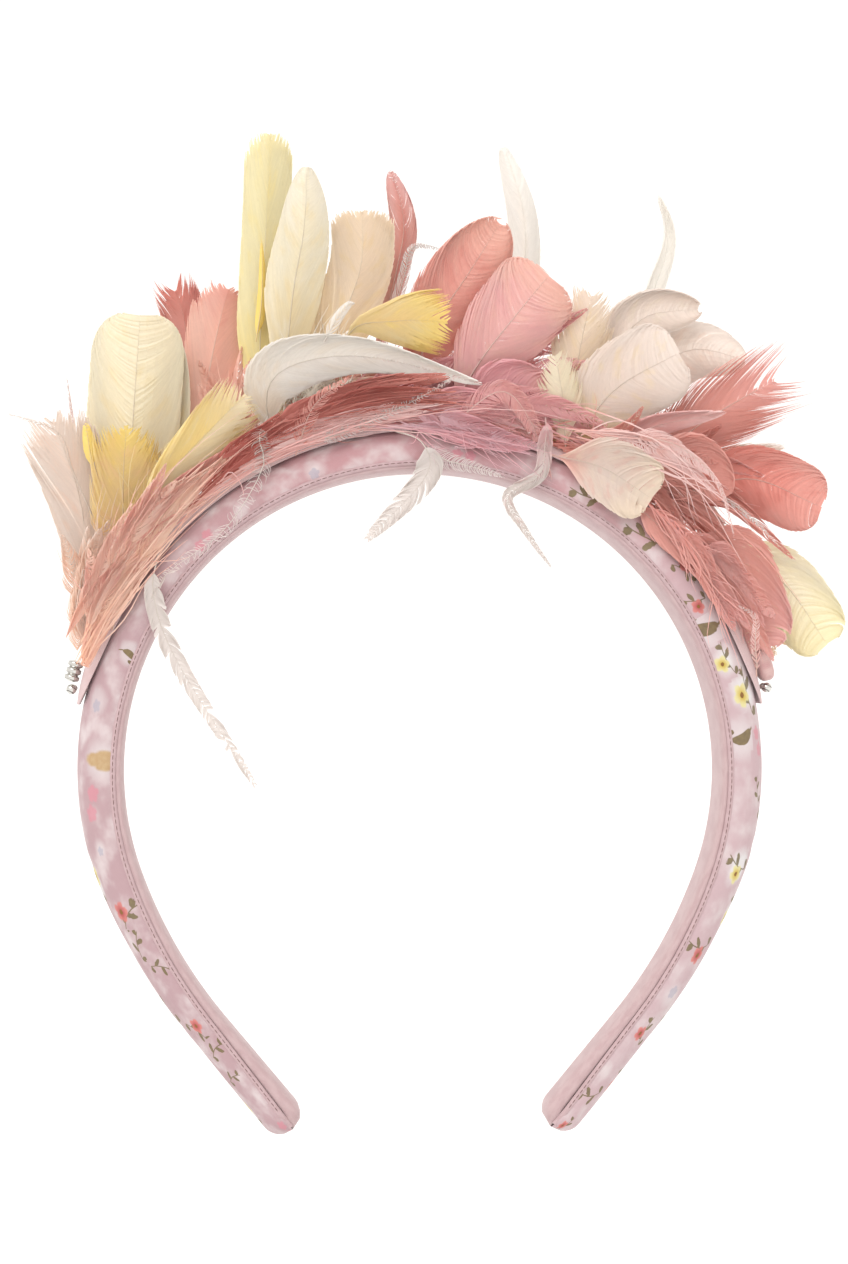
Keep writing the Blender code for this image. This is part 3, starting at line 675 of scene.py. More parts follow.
def vane_share(vane, share):
    quill = QUILL_HALF_W / FEATHER_HALF_W
    risen = np.sin(math.pi / 2 * np.clip(share / vane["rise"], 0, 1)) ** RISE_POWER
    past = np.clip((share - vane["fall"]) / max(1 - vane["fall"], 1e-6), 0, 1)
    return (quill + (1 - quill) * risen) * (1 - past ** vane["power"]) ** (1 / vane["power"])


def on_feather(row, share, across, lift=0.0):
    """Places in space, at these shares along a feather and across it."""
    points = rib_points(row)
    along = unit(rib_curve(points, share + ALONG_STEP) - rib_curve(points, share - ALONG_STEP))
    start = math.radians(row["rib"][0][0])
    free = eased(share / QUILL_SHARE)
    level = np.array([math.cos(start), -math.sin(start)])
    side = unit(np.stack([along[:, 1], -along[:, 0]], axis=-1) * free[:, None] + level * (1 - free)[:, None])
    width = FEATHER_HALF_W * row["half"] * vane_share(VANES[row["vane"]], share)
    flat = rib_curve(points, share) + side * (across * width)[:, None]
    angle = np.arctan2(flat[:, 0], flat[:, 1] + INNER_R)
    height = np.hypot(flat[:, 0], flat[:, 1] + INNER_R) - STRIP_R
    layer = row["layer"]
    if layer >= FRONT_LAYERS:
        height = np.maximum(height, layer_foot(layer) - SEAT_GAP)
    cup = row["cup"] * (np.minimum(across * across, 1.3) - 0.5) * cup_room(height)
    depth = layer_depth(layer, height) + sway(angle, height) + cup
    if layer < FRONT_LAYERS:
        depth = depth + (front_start(FRONT_LAYERS - 1) - depth) * (1 - free)
    flat = around(angle, height)
    return np.stack([flat[:, 0], depth + lift, flat[:, 1]], axis=-1)


def rib_length(row):
    curve = rib_curve(rib_points(row), np.linspace(0, 1, 60))
    return float(np.linalg.norm(np.diff(curve, axis=0), axis=1).sum())


print("longest rib in mm:", round(max(rib_length(row) for row in FEATHERS) / MM, 1))

# %% [markdown]
# ### The vane
# A barb leaves the rib at its root and runs out and forwards until it meets the outline, so its share
# along the rib grows as it goes. On a rounded feather the barbs near the tip get short. On a clipped or
# fringed one they are cut across, and they gather into the fingers of the fringe. Where the vane has
# split, the barbs on the two sides of the split turn away from each other.

# %% Barbs of one feather
BARB_STEPS = 7
FULL_RIBBON = 0.32
EDGE_TILT = 0.00007
LAST_ROOT = 0.985
OPENS_BY = 0.3
NEAR_TIP = 0.7
LEAST_UNEVEN = 0.07
SPLIT_REACH = 0.045
SPLIT_TURNS = (0.012, 0.035)


def barb_lines(row, chance):
    """For each barb: its side, the rib's shares at its root and end, how far out it gets, and its tone."""
    vane = VANES[row["vane"]]
    count = max(int(rib_length(row) / (row["barbs"] * MM)), 8)
    side = np.repeat([-1.0, 1.0], count)
    order = np.tile(np.arange(count), 2)
    last = 1 - vane["depth"] * 0.5 if vane["fingers"] else LAST_ROOT
    root = row["bare"] + (last - row["bare"]) * (order + chance.uniform(0, 1, 2 * count)) / count
    opening = np.minimum(root / OPENS_BY + 0.25, 1)
    left = 1.0 if vane["fingers"] else 1 - root
    end = root + row["lead"] * opening * left
    uneven = LEAST_UNEVEN * (1 + row["frizz"] * 2) * (1 - 0.8 * eased((root - NEAR_TIP) / (1 - NEAR_TIP)))
    reach = 1 - uneven * chance.uniform(0, 1, 2 * count) ** 2
    reach = reach * np.clip(0.3 + (root - BARE_FOOT) / (row["bare"] - BARE_FOOT + 0.001), 0, 1)
    for way in (-1, 1):
        for middle in chance.uniform(0.2, 0.9, row["splits"]):
            near = np.exp(-np.abs(root - middle) / SPLIT_REACH) * np.sign(root - middle)
            end = end + (side == way) * near * chance.uniform(*SPLIT_TURNS)
    if not vane["fingers"]:
        end = np.minimum(end, 1.0)
    return side, root, end, reach, chance.uniform(0, 1, 2 * count)


def jag(row, across):
    """How deep the fringe is cut at this place across: least at the tips of its fingers."""
    fingers = VANES[row["vane"]]["fingers"]
    place = np.clip((across + 1) / 2 * fingers, 0, fingers - 1e-6)
    finger = place.astype(int)
    from_tip = np.abs(place - finger - 0.5) * 2
    tip = np.minimum(FINGER_JAGS[finger % len(FINGER_JAGS)] + JAG_AT_SIDES * across ** 2, MOST_JAG)
    return tip + (1 - tip) * from_tip ** 1.5


FORWARD = 1.25
OUTWARD = 1.5
CURL = 0.00028
STRAY = 0.012
THINNEST = 0.00006


def out_across(u):
    """A barb leaves the rib steeply and then turns to run beside it."""
    return 1 - (1 - np.clip(u, 0, 1)) ** OUTWARD


def barb_places(row, share_from, share_to, side, u, curl):
    """Places in space at u of the way out along barbs."""
    share = share_from + (share_to - share_from) * u ** FORWARD
    return on_feather(row, share, side * out_across(u), curl * u * u)


def build_vane(row, seed):
    chance = np.random.default_rng(seed)
    vane = VANES[row["vane"]]
    side, root, end, reach, tone = barb_lines(row, chance)
    stop = reach
    if vane["fingers"]:
        most_rough = 0.03 + 0.09 * row["frizz"] + 0.3 * vane["depth"]
        rough = chance.uniform(0, 1, len(side)) ** 1.5 * most_rough
        way_out = np.clip((1 - vane["depth"] * 0.5 - root) / (end - root), 0, 1) ** (1 / FORWARD)
        met = side * out_across(way_out)
        cut = 1 - vane["depth"] * (0.05 + 0.25 * jag(row, met)) - vane["corner"] * met ** 4 - rough
        stop = reach * np.clip((cut - root) / (end - root), 0.02, 1) ** (1 / FORWARD)
    curl = chance.normal(0, CURL, len(side)) * (0.4 + row["frizz"])
    stray = chance.normal(0, STRAY, len(side)) * row["frizz"]

    piece, number, u, edge = comb(row["name"] + "_vane", len(side), BARB_STEPS)
    out = u * stop[number]
    tip = end[number] + stray[number] * u
    middle = barb_places(row, root[number], tip, side[number], out, curl[number])
    ahead = barb_places(row, root[number], tip, side[number], out + 0.02, curl[number])
    line = unit(ahead - middle)
    over = beside(line)
    full = 0.96 - 0.30 * row["frizz"] - vane["depth"]
    taper = 1 - (np.maximum(u - full, 0) / (1 - full)) ** 1.5 * (0.55 + 0.4 * row["frizz"])
    share = root[number] + (tip - root[number]) * out ** FORWARD
    width = np.full(len(u), row["ribbon"] * MM)
    if row["ribbon"] > FULL_RIBBON:
        count = len(side) // 2
        nearest = np.minimum(number % count + 1, count - 1) + number // count * count
        other = barb_places(row, root[nearest], end[nearest], side[nearest], out, curl[number])
        room = np.abs(((other - middle) * over).sum(axis=1)) * (1.35 - 0.25 * row["frizz"])
        width = np.clip(room, 0.8 * width, 2.2 * width)
        local = FEATHER_HALF_W * row["half"] * vane_share(vane, np.clip(share, 0, 1))
        width = np.minimum(width, THINNEST + 0.7 * local)
    width = width * np.maximum(taper, 0.08)
    places = middle + over * (edge * width / 2)[:, None]
    places[:, 1] += edge * EDGE_TILT * side[number]
    across = side[number] * out_across(out)
    pick = np.where(side < 0, *row["pick"])[number]
    return carry(piece, places, vane=(share, across, u), barb=(tone[number], 0.0, pick))


def build_rib(row):
    """The quill and rib: a tube that thins out towards the tip."""
    piece, share, turn = tube(row["name"] + "_rib", 6, 14)
    vane = VANES[row["vane"]]
    share = -0.015 + share * (0.975 - 0.6 * vane["depth"])
    flat = on_feather(row, share, np.zeros(len(share)))
    ahead = on_feather(row, share + 0.01, np.zeros(len(share)))
    line = unit(ahead - flat)
    side = beside(line)
    out = np.cross(line, side)
    radius = (0.05 + 0.24 * (1 - np.clip(share, 0, 1)) ** 1.2) * MM * (0.55 + 0.45 * row["half"])
    places = flat + (side * np.cos(turn)[:, None] + out * np.sin(turn)[:, None]) * radius[:, None]
    carry(piece, places, vane=(share, 0.0, 0.0), barb=(0.5, 1.0, 0.0))
    return smooth(piece)


print("barb steps:", BARB_STEPS)

# %% [markdown]
# ### Dyed barbs
# A dyed feather is strongest in colour at its root and paler where light passes its thin edge. Each barb
# took the dye a little differently, which gives the fine streaks. The surface is matt with a soft sheen,
# and light shines through it, so a translucent shader is mixed in.

# %% Look of a feather
THINNED = 0.64
looks = {}


def dyed(name):
    """The colour of one barb. Light takes on dye at each barb it meets, so a single one holds less of it."""
    bright = [min(value / LAMP_SHARE, 1) for value in paint(*DYES[name])[:3]]
    return tuple(value ** THINNED * 0.95 for value in bright) + (1,)


def feather_look(dye):
    """One look for each set of dyes: root, middle and tip."""
    name = "vane_" + "_".join(dict.fromkeys(dye))
    if name in looks:
        return looks[name]
    look = Look(name)
    root, body, tip = (dyed(colour) for colour in dye)
    share, side, out = look.fact("vane")
    tone, quill, pick = look.fact("barb")
    place = look.node("ShaderNodeTexCoord", None, (), "Object")
    uneven = look.noise(place, 160.0)
    colour = look.blend(look.ramp(share + (uneven - 0.5) * 0.25, 0.02, 0.48), root, body)
    colour = look.blend(look.ramp(share + (uneven - 0.5) * 0.2, 0.6, 1.0), colour, tip)
    colour = look.blend(pick * 0.8, colour, tip)
    band = look.noise(look.join(share * 14 - out * 3, side * 2.0, out * 0.6), 1.0, 2.0)
    colour = look.blend(look.ramp(band, 0.50, 0.72) * 0.55, colour, tip)
    colour = look.blend(look.ramp(band, 0.48, 0.26) * 0.35, colour, root)
    streak = look.noise(look.join(share * 55, tone * 300, out * 2.0), 1.0, 1.0)
    colour = look.shade(colour, 0.88 + tone * 0.07 + streak * 0.13)
    colour = look.blend(quill * 0.5, colour, paint(250, 238, 222))
    matt = look.principled(
        {"Base Color": colour, "Roughness": 0.55, "Sheen Weight": 0.25, "Specular IOR Level": 0.3}
    )
    warm = tuple(value ** 1.4 for value in body[:3]) + (1,)
    through = look.node("ShaderNodeBsdfTranslucent", None, {"Color": warm})
    looks[name] = look.finish(look.node("ShaderNodeMixShader", None, [0.32, matt, through]))
    return looks[name]


print(len(DYES), "dyes")

# %% Build the feathers
made = 0
for k, row in enumerate(FEATHERS):
    piece = join([build_vane(row, 100 + k), build_rib(row)], row["name"] + "_barbs")
    piece.data.materials.append(feather_look(row["dye"]))
    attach(piece, "root")
    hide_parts(row["name"])
    made += len(piece.data.polygons)
print("feather faces:", made)

# %% [markdown]
# ### Wisps
# Some strands stand alone: a bare rib with loose, fluffy barbs, as on marabou. They are made as small
# feathers are, with the barbs further apart and far less tidy. They stand for no solid of their own,
# because they weigh nothing.

# %% Loose wisps
WISPS = (
    feather("cream_fringe_top", 9, "clipped", 0.24, 1, ((-11, 0.40), (-8.2, 0.58), (-6.9, 0.71)),
            ("beige", "cream", "pale_yellow"), frizz=0.7, splits=3),
    feather("white_curl", 3, "lock", 0.12, 1, ((-13.2, 0.275), (-11.3, 0.33), (-9.5, 0.371), (-8.6, 0.375)),
            ("white", "white", "white"), barbs=0.35, ribbon=0.15, frizz=1.0, splits=3),
    feather("grey_wisp", 9, "lock", 0.13, 1, ((-6, 0.18), (-1.9, 0.467), (-0.5, 0.587), (2.5, 0.585)),
            ("coral", "grey_white", "grey_white"), barbs=0.45, ribbon=0.13, frizz=1.0, splits=0, lead=0.12),
    feather("yellow_streak", 8, "lock", 0.09, 1, ((-21, 0.36), (-19, 0.46), (-17.6, 0.57), (-16.6, 0.68)),
            ("bright_yellow", "bright_yellow", "bright_yellow"), splits=0),
    feather("yellow_fold", 6, "petal", 0.12, 1, ((-47.6, 0.298), (-46, 0.352), (-44.1, 0.42)),
            ("golden", "bright_yellow", "bright_yellow"), splits=0),
    feather("far_left_wisp", 7, "lock", 0.09, 1,
            ((-52, 0.22), (-49.3, 0.35), (-47.1, 0.468), (-49.4, 0.637)),
            ("blush", "blush", "grey_white"), barbs=0.5, ribbon=0.16, frizz=0.8, splits=0, lead=0.14),
    feather("left_spike", 8, "lock", 0.07, -1, ((-57, 0.08), (-51.1, 0.247), (-46.4, 0.409), (-42, 0.583)),
            ("blush", "pale_pink", "grey_white"), barbs=0.6, ribbon=0.15, frizz=0.8, splits=0, lead=0.12),
    feather("left_fluff_spike", 6, "lock", 0.08, 1,
            ((-70, 0.0), (-65.6, 0.03), (-62.5, 0.112), (-57.5, 0.22)),
            ("peach", "pale_blush", "grey_white"), barbs=0.5, ribbon=0.16, frizz=1.0, splits=0, lead=0.14),
    feather("white_strand_left", 0, "lock", 0.2, 1,
            ((-24, 0.10), (-26.5, 0.05), (-28.2, -0.042), (-39.6, -0.138), (-51.8, -0.105), (-58, -0.11)),
            ("pale_blush", "grey_white", "pale_blush"), barbs=0.6, ribbon=0.13, frizz=1.0, splits=5,
            lead=0.035),
    feather("white_strand_mid", 0, "lock", 0.14, 1,
            ((-18, -0.02), (-13.8, -0.026), (-3.5, 0.03), (5.5, 0.14)),
            ("grey_white", "grey_white", "pale_pink"), barbs=0.5, ribbon=0.13, frizz=1.0, splits=0,
            lead=0.04),
    feather("curled_strand_mid", 0, "lock", 0.16, -1,
            ((19, 0.06), (19.9, -0.003), (21.1, -0.121), (16.7, -0.223), (22.4, -0.306), (32.1, -0.377)),
            ("rose", "grey_strand", "grey_strand"), barbs=0.32, ribbon=0.2, frizz=0.8, splits=2, lead=0.18),
    feather("barbs_under_crown", 0, "lock", 0.20, 1,
            ((0, -0.09), (3.5, -0.14), (9.2, -0.155), (15.1, -0.166)),
            ("mauve", "grey_white", "grey_white"), barbs=0.4, ribbon=0.13, frizz=1.0, splits=3, lead=0.16),
    feather("pale_strand_right", 0, "lock", 0.07, 1, ((30, 0.10), (37, 0.17), (45, 0.17), (53, 0.10)),
            ("coral", "pale_pink", "pale_pink"), barbs=0.5, ribbon=0.15, frizz=0.6, splits=0, lead=0.1),
    feather("pale_strand_end", 0, "lock", 0.09, -1, ((74, -0.02), (69, 0.0), (65, 0.03), (62, 0.0)),
            ("coral", "pale_pink", "grey_white"), barbs=0.5, ribbon=0.16, frizz=0.8, splits=0, lead=0.12),
    feather("gap_strand_right", 3, "lock", 0.07, 1, ((44, 0.12), (48, 0.17), (53, 0.20), (58, 0.22)),
            ("coral", "grey_white", "grey_white"), barbs=0.6, ribbon=0.15, frizz=0.5, splits=0, lead=0.12),
)
for k, row in enumerate(WISPS):
    piece = join([build_vane(row, 300 + k), build_rib(row)], row["name"])
    piece.data.materials.append(feather_look(row["dye"]))
    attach(piece, "root")
print(len(WISPS), "wisps")

# %% [markdown]
# ### Down at the roots
# Round the quills the real feathers carry soft down, which hides the strip and fills the gaps. Each row
# is one tuft: its layers, the path of its middle, how far its strands stray at root and tip, and how
# many there are. A third of them are made as bare strands. The rest stand for plumelets, small fluffy
# feathers along the same path, which are built as the large vanes are.

# %% Tufts of down


def tuft(name, layers, path, root, tip, count, dye, width=0.30):
    return dict(name=name, layers=layers, path=path, root=root, tip=tip, count=count, dye=dye, width=width)


STRANDS_PER_PLUMELET = 9
PLUMELET_POINTS = 4
FRONT_PLUMELETS = (0.10, 0.26)
BACK_PLUMELETS = (0.16, 0.34)
LOOSE_SHARE = 3
LAST_ANGLE = 72.5
TUFTS = (
    tuft("peach_down", (2, 6), ((-71, 0.0), (-61, 0.08), (-51, 0.18)), (1, 0.01), (1.5, 0.02), 150,
         ("apricot", "peach", "pale_blush")),
    tuft("apricot_down", (0.5, 1.8), ((-66, 0.0), (-52, 0.05), (-38, 0.09)), (6, 0.01), (6, 0.05), 170,
         ("apricot", "coral", "peach")),
    tuft("orange_strands", (0, 0), ((-72, 0.0), (-50, -0.02), (-29, 0.04)), (5, 0.02), (6, 0.03), 90,
         ("apricot", "peach", "coral")),
    tuft("golden_down", (3, 6), ((-54, 0.0), (-47, 0.08), (-40, 0.16)), (5, 0.01), (6, 0.06), 110,
         ("apricot", "golden", "pale_yellow")),
    # shadow_down fills the shaded hollow between the white scythe and the band; its dark red dyes are partly
    # painted shade.
    tuft("shadow_down", (0.6, 1.8), ((-34, 0.0), (-17, 0.045), (0, 0.06)), (6, 0.01), (8, 0.02), 230,
         ("red_shadow", "red_shadow", "deep_coral")),
    tuft("coral_strands_mid", (0, 1), ((-32, -0.01), (-14, -0.01), (2, 0.03)), (6, 0.01), (7, 0.02), 80,
         ("coral", "dusty_pink", "pale_pink")),
    tuft("rose_down", (0, 2), ((-10, 0.0), (2, 0.01), (14, 0.0)), (7, 0.01), (7, 0.04), 150,
         ("rose", "rose", "dusty_pink")),
    tuft("mauve_fluff", (0, 0), ((-2, -0.02), (8, -0.07), (18, -0.08)), (5, 0.01), (7, 0.02), 90,
         ("mauve", "rose", "mauve"), 0.18),
    tuft("rose_down_right", (1, 4), ((4, 0.0), (14, 0.06), (24, 0.07)), (6, 0.01), (6, 0.05), 150,
         ("rose", "dusty_pink", "dusty_pink")),
    tuft("cream_down", (4, 7), ((20, 0.0), (22, 0.10), (25, 0.19)), (5, 0.01), (6, 0.05), 110,
         ("coral", "golden", "cream")),
    tuft("coral_down_right", (1, 5), ((28, 0.0), (39, 0.09), (49, 0.13)), (8, 0.01), (8, 0.07), 260,
         ("deep_coral", "coral", "coral")),
    tuft("coral_strands_right", (0, 0), ((27, 0.05), (39, 0.13), (51, 0.13)), (4, 0.03), (5, 0.03), 45,
         ("coral", "coral", "pale_pink")),
    tuft("pink_down_low", (1, 3), ((48, 0.0), (57, 0.03), (67, 0.02)), (4, 0.01), (3, 0.02), 90,
         ("deep_coral", "coral", "dusty_pink")),
    tuft("coral_strands_low", (0, 0), ((46, -0.01), (57, -0.04), (68, -0.03)), (5, 0.01), (3, 0.02), 80,
         ("deep_coral", "coral", "dusty_pink")),
    tuft("coral_back_left", (8, 11), ((-35, 0.0), (-28, 0.14), (-24, 0.34)), (4, 0.01), (3, 0.04), 150,
         ("coral", "salmon", "salmon")),
    tuft("cream_back", (6, 9), ((-21, 0.02), (-15, 0.18), (-11, 0.36)), (4, 0.01), (3, 0.05), 140,
         ("ivory", "ivory", "bright_white")),
    tuft("rose_back", (5, 8), ((-6, 0.0), (6, 0.15), (16, 0.32)), (8, 0.01), (7, 0.05), 250,
         ("rose", "dusty_pink", "dusty_pink")),
    tuft("coral_back_right", (5, 8), ((28, 0.0), (35, 0.14), (40, 0.30)), (5, 0.01), (5, 0.05), 150,
         ("deep_coral", "coral", "dusty_pink")),
    tuft("back_down_left", (8, 11), ((-60, 0.0), (-53, 0.07), (-44, 0.13)), (4, 0.01), (4, 0.04), 150,
         ("apricot", "peach", "cream")),
    tuft("back_down_mid", (7, 11), ((-28, 0.0), (-18, 0.10), (-8, 0.18)), (12, 0.01), (12, 0.05), 230,
         ("coral", "coral", "beige")),
    tuft("back_down_crown", (7, 11), ((0, 0.0), (9, 0.08), (18, 0.12)), (9, 0.01), (9, 0.05), 190,
         ("rose", "dusty_pink", "pale_pink")),
    tuft("back_down_right", (7, 11), ((28, 0.0), (38, 0.08), (48, 0.12)), (11, 0.01), (11, 0.05), 230,
         ("coral", "coral", "pale_blush")),
    tuft("back_down_end", (6, 11), ((56, 0.0), (63, 0.05), (70, 0.09)), (6, 0.01), (6, 0.04), 130,
         ("coral", "dusty_pink", "pale_yellow")),
)


def build_tuft(row, seed):
    chance = np.random.default_rng(seed)
    count = row["count"]
    piece, number, u, edge = comb(row["name"], count, 8)
    angles = np.array([angle for angle, _ in row["path"]])
    heights = np.array([height for _, height in row["path"]])
    stray = [chance.normal(0, spread, count) for spread in (*row["root"], *row["tip"])]
    reach = chance.uniform(0.45, 1.1, count)
    curl = chance.normal(0, 0.03, (3, count))
    lanes = chance.uniform(*row["layers"], count)

    def strand(u):
        out = u * reach[number]
        middle = rib_curve(np.stack([angles, heights], axis=-1), out)
        angle = middle[:, 0] + stray[0][number] * (1 - u) + stray[2][number] * u
        height = middle[:, 1] + np.abs(stray[1][number]) * (1 - u) + stray[3][number] * u
        height = height + curl[0][number] * np.sin(u * 5) * u
        angle = np.radians(np.clip(angle + curl[1][number] * 30 * np.sin(u * 4) * u, -LAST_ANGLE, LAST_ANGLE))
        rise = height * PLUME_H + layer_foot(FRONT_LAYERS)
        if row["layers"][1] < FRONT_LAYERS:
            depth = layer_depth(0, rise) + (lanes[number] + 0.4) * LAYER_STEP / 2
        else:
            lane = np.maximum(lanes[number], FRONT_LAYERS)
            depth = layer_start(lane) + layer_lean(lane) * np.maximum(rise, 0) * u
        depth = depth + sway(angle, rise) + curl[2][number] * u * 0.03
        flat = around(angle, rise)
        return np.stack([flat[:, 0], depth, flat[:, 1]], axis=-1)

    middle = strand(u)
    line = unit(strand(u + 0.02) - middle)
    over = beside(line)
    width = row["width"] * MM * (1 - 0.85 * u ** 2)
    places = middle + over * (edge * width / 2)[:, None]
    tone = chance.uniform(0, 1, count)[number]
    return carry(piece, places, vane=(u, 0.0, u), barb=(tone, 0.0, edge))


def build_plumelets(row, seed):
    """Small soft feathers that follow a tuft's path."""
    chance = np.random.default_rng(seed)
    made = []
    front = row["layers"][1] < FRONT_LAYERS
    for k in range(row["count"] // STRANDS_PER_PLUMELET):
        place = chance.uniform(0, 0.45)
        way = np.linspace(place, place + chance.uniform(0.4, 0.65), PLUMELET_POINTS)
        path = rib_curve(np.array(row["path"], dtype=float), way)
        aside = chance.normal(0, row["root"][0] * 0.5)
        turn = chance.normal(0, row["tip"][0] * 0.6)
        lift = abs(chance.normal(0, row["root"][1] + 0.01))
        rise = chance.normal(0, row["tip"][1])
        out = np.linspace(0, 1, PLUMELET_POINTS)
        angles = np.clip(path[:, 0] + aside + turn * out ** 2, -LAST_ANGLE, LAST_ANGLE)
        rib = tuple(zip(angles, path[:, 1] + lift + rise * out ** 1.5))
        layer = chance.uniform(0, 0.4) if front else max(chance.uniform(*row["layers"]), FRONT_LAYERS)
        half = chance.uniform(*(FRONT_PLUMELETS if front else BACK_PLUMELETS))
        cup = chance.choice((-1, 1))
        pick = (chance.uniform(0, 1),) * 2
        plumelet = feather(
            row["name"] + "_%d" % k, layer, "lock", half, cup, rib, row["dye"],
            ribbon=0.21, frizz=1.0, splits=6, lead=0.5, pick=pick,
        )
        made.append(build_vane(plumelet, seed * 100 + k))
    return join(made, row["name"] + "_plumelets")


for k, row in enumerate(TUFTS):
    loose = build_tuft(dict(row, count=row["count"] // LOOSE_SHARE), 500 + k)
    for piece in (loose, build_plumelets(row, 700 + k)):
        piece.data.materials.append(feather_look(row["dye"]))
        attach(piece, "root")
print(len(TUFTS), "tufts")

# %% [markdown]
# ## The padded band
# A strip of printed cotton is pulled over the padding and stitched down along both edges of the lining.
# The flat grid below does the same: its long side is laid along the arch and its short side round the
# padding, and its edges are tucked in under the lining. Little puckers run from the stitches into the
# cloth, slow folds wander along it, and a few creases cross it where the arch bends. All of these are
# small moves of the grid's points.

# %% Wrap the cover
COVER_COLUMNS = 560
COVER_ROWS = 30
TUCK_ROWS = 0.06


def ripple(length, waves):
    """A wandering wave between -1 and 1, the sum of a few sines."""
    return sum(np.sin(length * rate + phase) for rate, phase in waves) / len(waves)


FINE_WAVES = ((1900, 0.3), (2630, 1.9), (3170, 4.1), (1370, 2.2))
SLOW_WAVES = ((120, 0.5), (210, 2.6), (330, 4.4))
# Each crease: its place along the arch, its slant, its width and its depth
CREASES = (
    (-0.031, 0.020, 0.0011, 0.030),
    (-0.026, -0.010, 0.0010, 0.035),
    (-0.017, 0.030, 0.0012, 0.028),
    (-0.088, 0.015, 0.0012, 0.030),
    (-0.111, -0.020, 0.0012, 0.022),
    (0.024, 0.020, 0.0012, 0.020),
    (0.118, -0.020, 0.0014, 0.018),
    (-0.158, 0.020, 0.0014, 0.020),
)

cover, along, girth = grid("cover_cloth", COVER_COLUMNS, COVER_ROWS)
length = (along * 2 - 1) * ARM_LENGTH
thickness, half_width, lining, roundness = section(length)
tuck = np.clip(np.maximum(TUCK_ROWS - girth, girth - 1 + TUCK_ROWS) / TUCK_ROWS, 0, 1)
turn = math.pi * np.clip((girth - TUCK_ROWS) / (1 - 2 * TUCK_ROWS), 0, 1)
sideways = -np.sign(np.cos(turn)) * np.abs(np.cos(turn)) ** (2 / DOME_POWER)
upwards = np.maximum(np.sin(turn), 0) ** (2 / DOME_POWER)
height = thickness - lining - SEAM_GAP
from_seam = np.minimum(girth, 1 - girth) - TUCK_ROWS
pucker = ripple(length + np.sin(turn) * 0.002, FINE_WAVES) * np.exp(-np.maximum(from_seam, 0) / 0.07)
fold = ripple(length + girth * 0.01, SLOW_WAVES)
crease = np.zeros(len(length))
for at, slant, wide, deep in CREASES:
    crease = crease + deep * np.exp(-((length - at - slant * (girth - 0.2)) / wide) ** 2)
swell = 1 + (0.012 * pucker + 0.006 * fold - crease) * (1 - tuck)
across = half_width * sideways * swell * (1 - 0.06 * tuck)
up = lining + 0.0001 + (height + 0.0002) * upwards * roundness * swell - 0.0003 * tuck * roundness
carry(cover, on_arch(length, across, up), cloth=(length, girth * 0.032, 0.0))
print("cover faces:", len(cover.data.polygons))

# %% Wrap the lining
lining_cloth, along, girth = grid("lining_cloth", 360, 24)
length = (along * 2 - 1) * ARM_LENGTH
thickness, half_width, lining, roundness = section(length)
turn = 2 * math.pi * girth
flat_across = np.sign(np.sin(turn)) * np.abs(np.sin(turn)) ** 0.55
flat_up = np.sign(np.cos(turn)) * np.abs(np.cos(turn)) ** 0.75
across = half_width * 0.985 * flat_across
up = lining / 2 * (1 + roundness * flat_up) + lining / 2 * (1 - roundness)
carry(lining_cloth, on_arch(length, across, up), cloth=(length, girth * 0.036, 0.0))
print("lining faces:", len(lining_cloth.data.polygons))

# %% [markdown]
# ### Printed cotton
# The print is a scatter of small sprigs on pale pink, of seven kinds: red, yellow and blue flowers,
# sprays of leaves, pink dots, a tan leaf and an olive one. Each face of the cover belongs to its nearest
# sprig and keeps its corners' place on that sprig's own little map, turned and in millimetres. The look
# then draws petals and leaves on that map with a few formulas, so they stay sharp at any distance.

# %% Chart of sprigs
KINDS = range(7)
RED_FLOWER, YELLOW_FLOWER, SPRAY, BLUE_FLOWER, PINK_DOTS, TAN_LEAF, OLIVE_LEAF = KINDS


def sprig(at, girth, kind, turn, size):
    """Millimetres from the crown, share of the way round the padding, kind, turn in degrees, and size."""
    return dict(at=at, girth=girth, kind=kind, turn=turn, size=size)


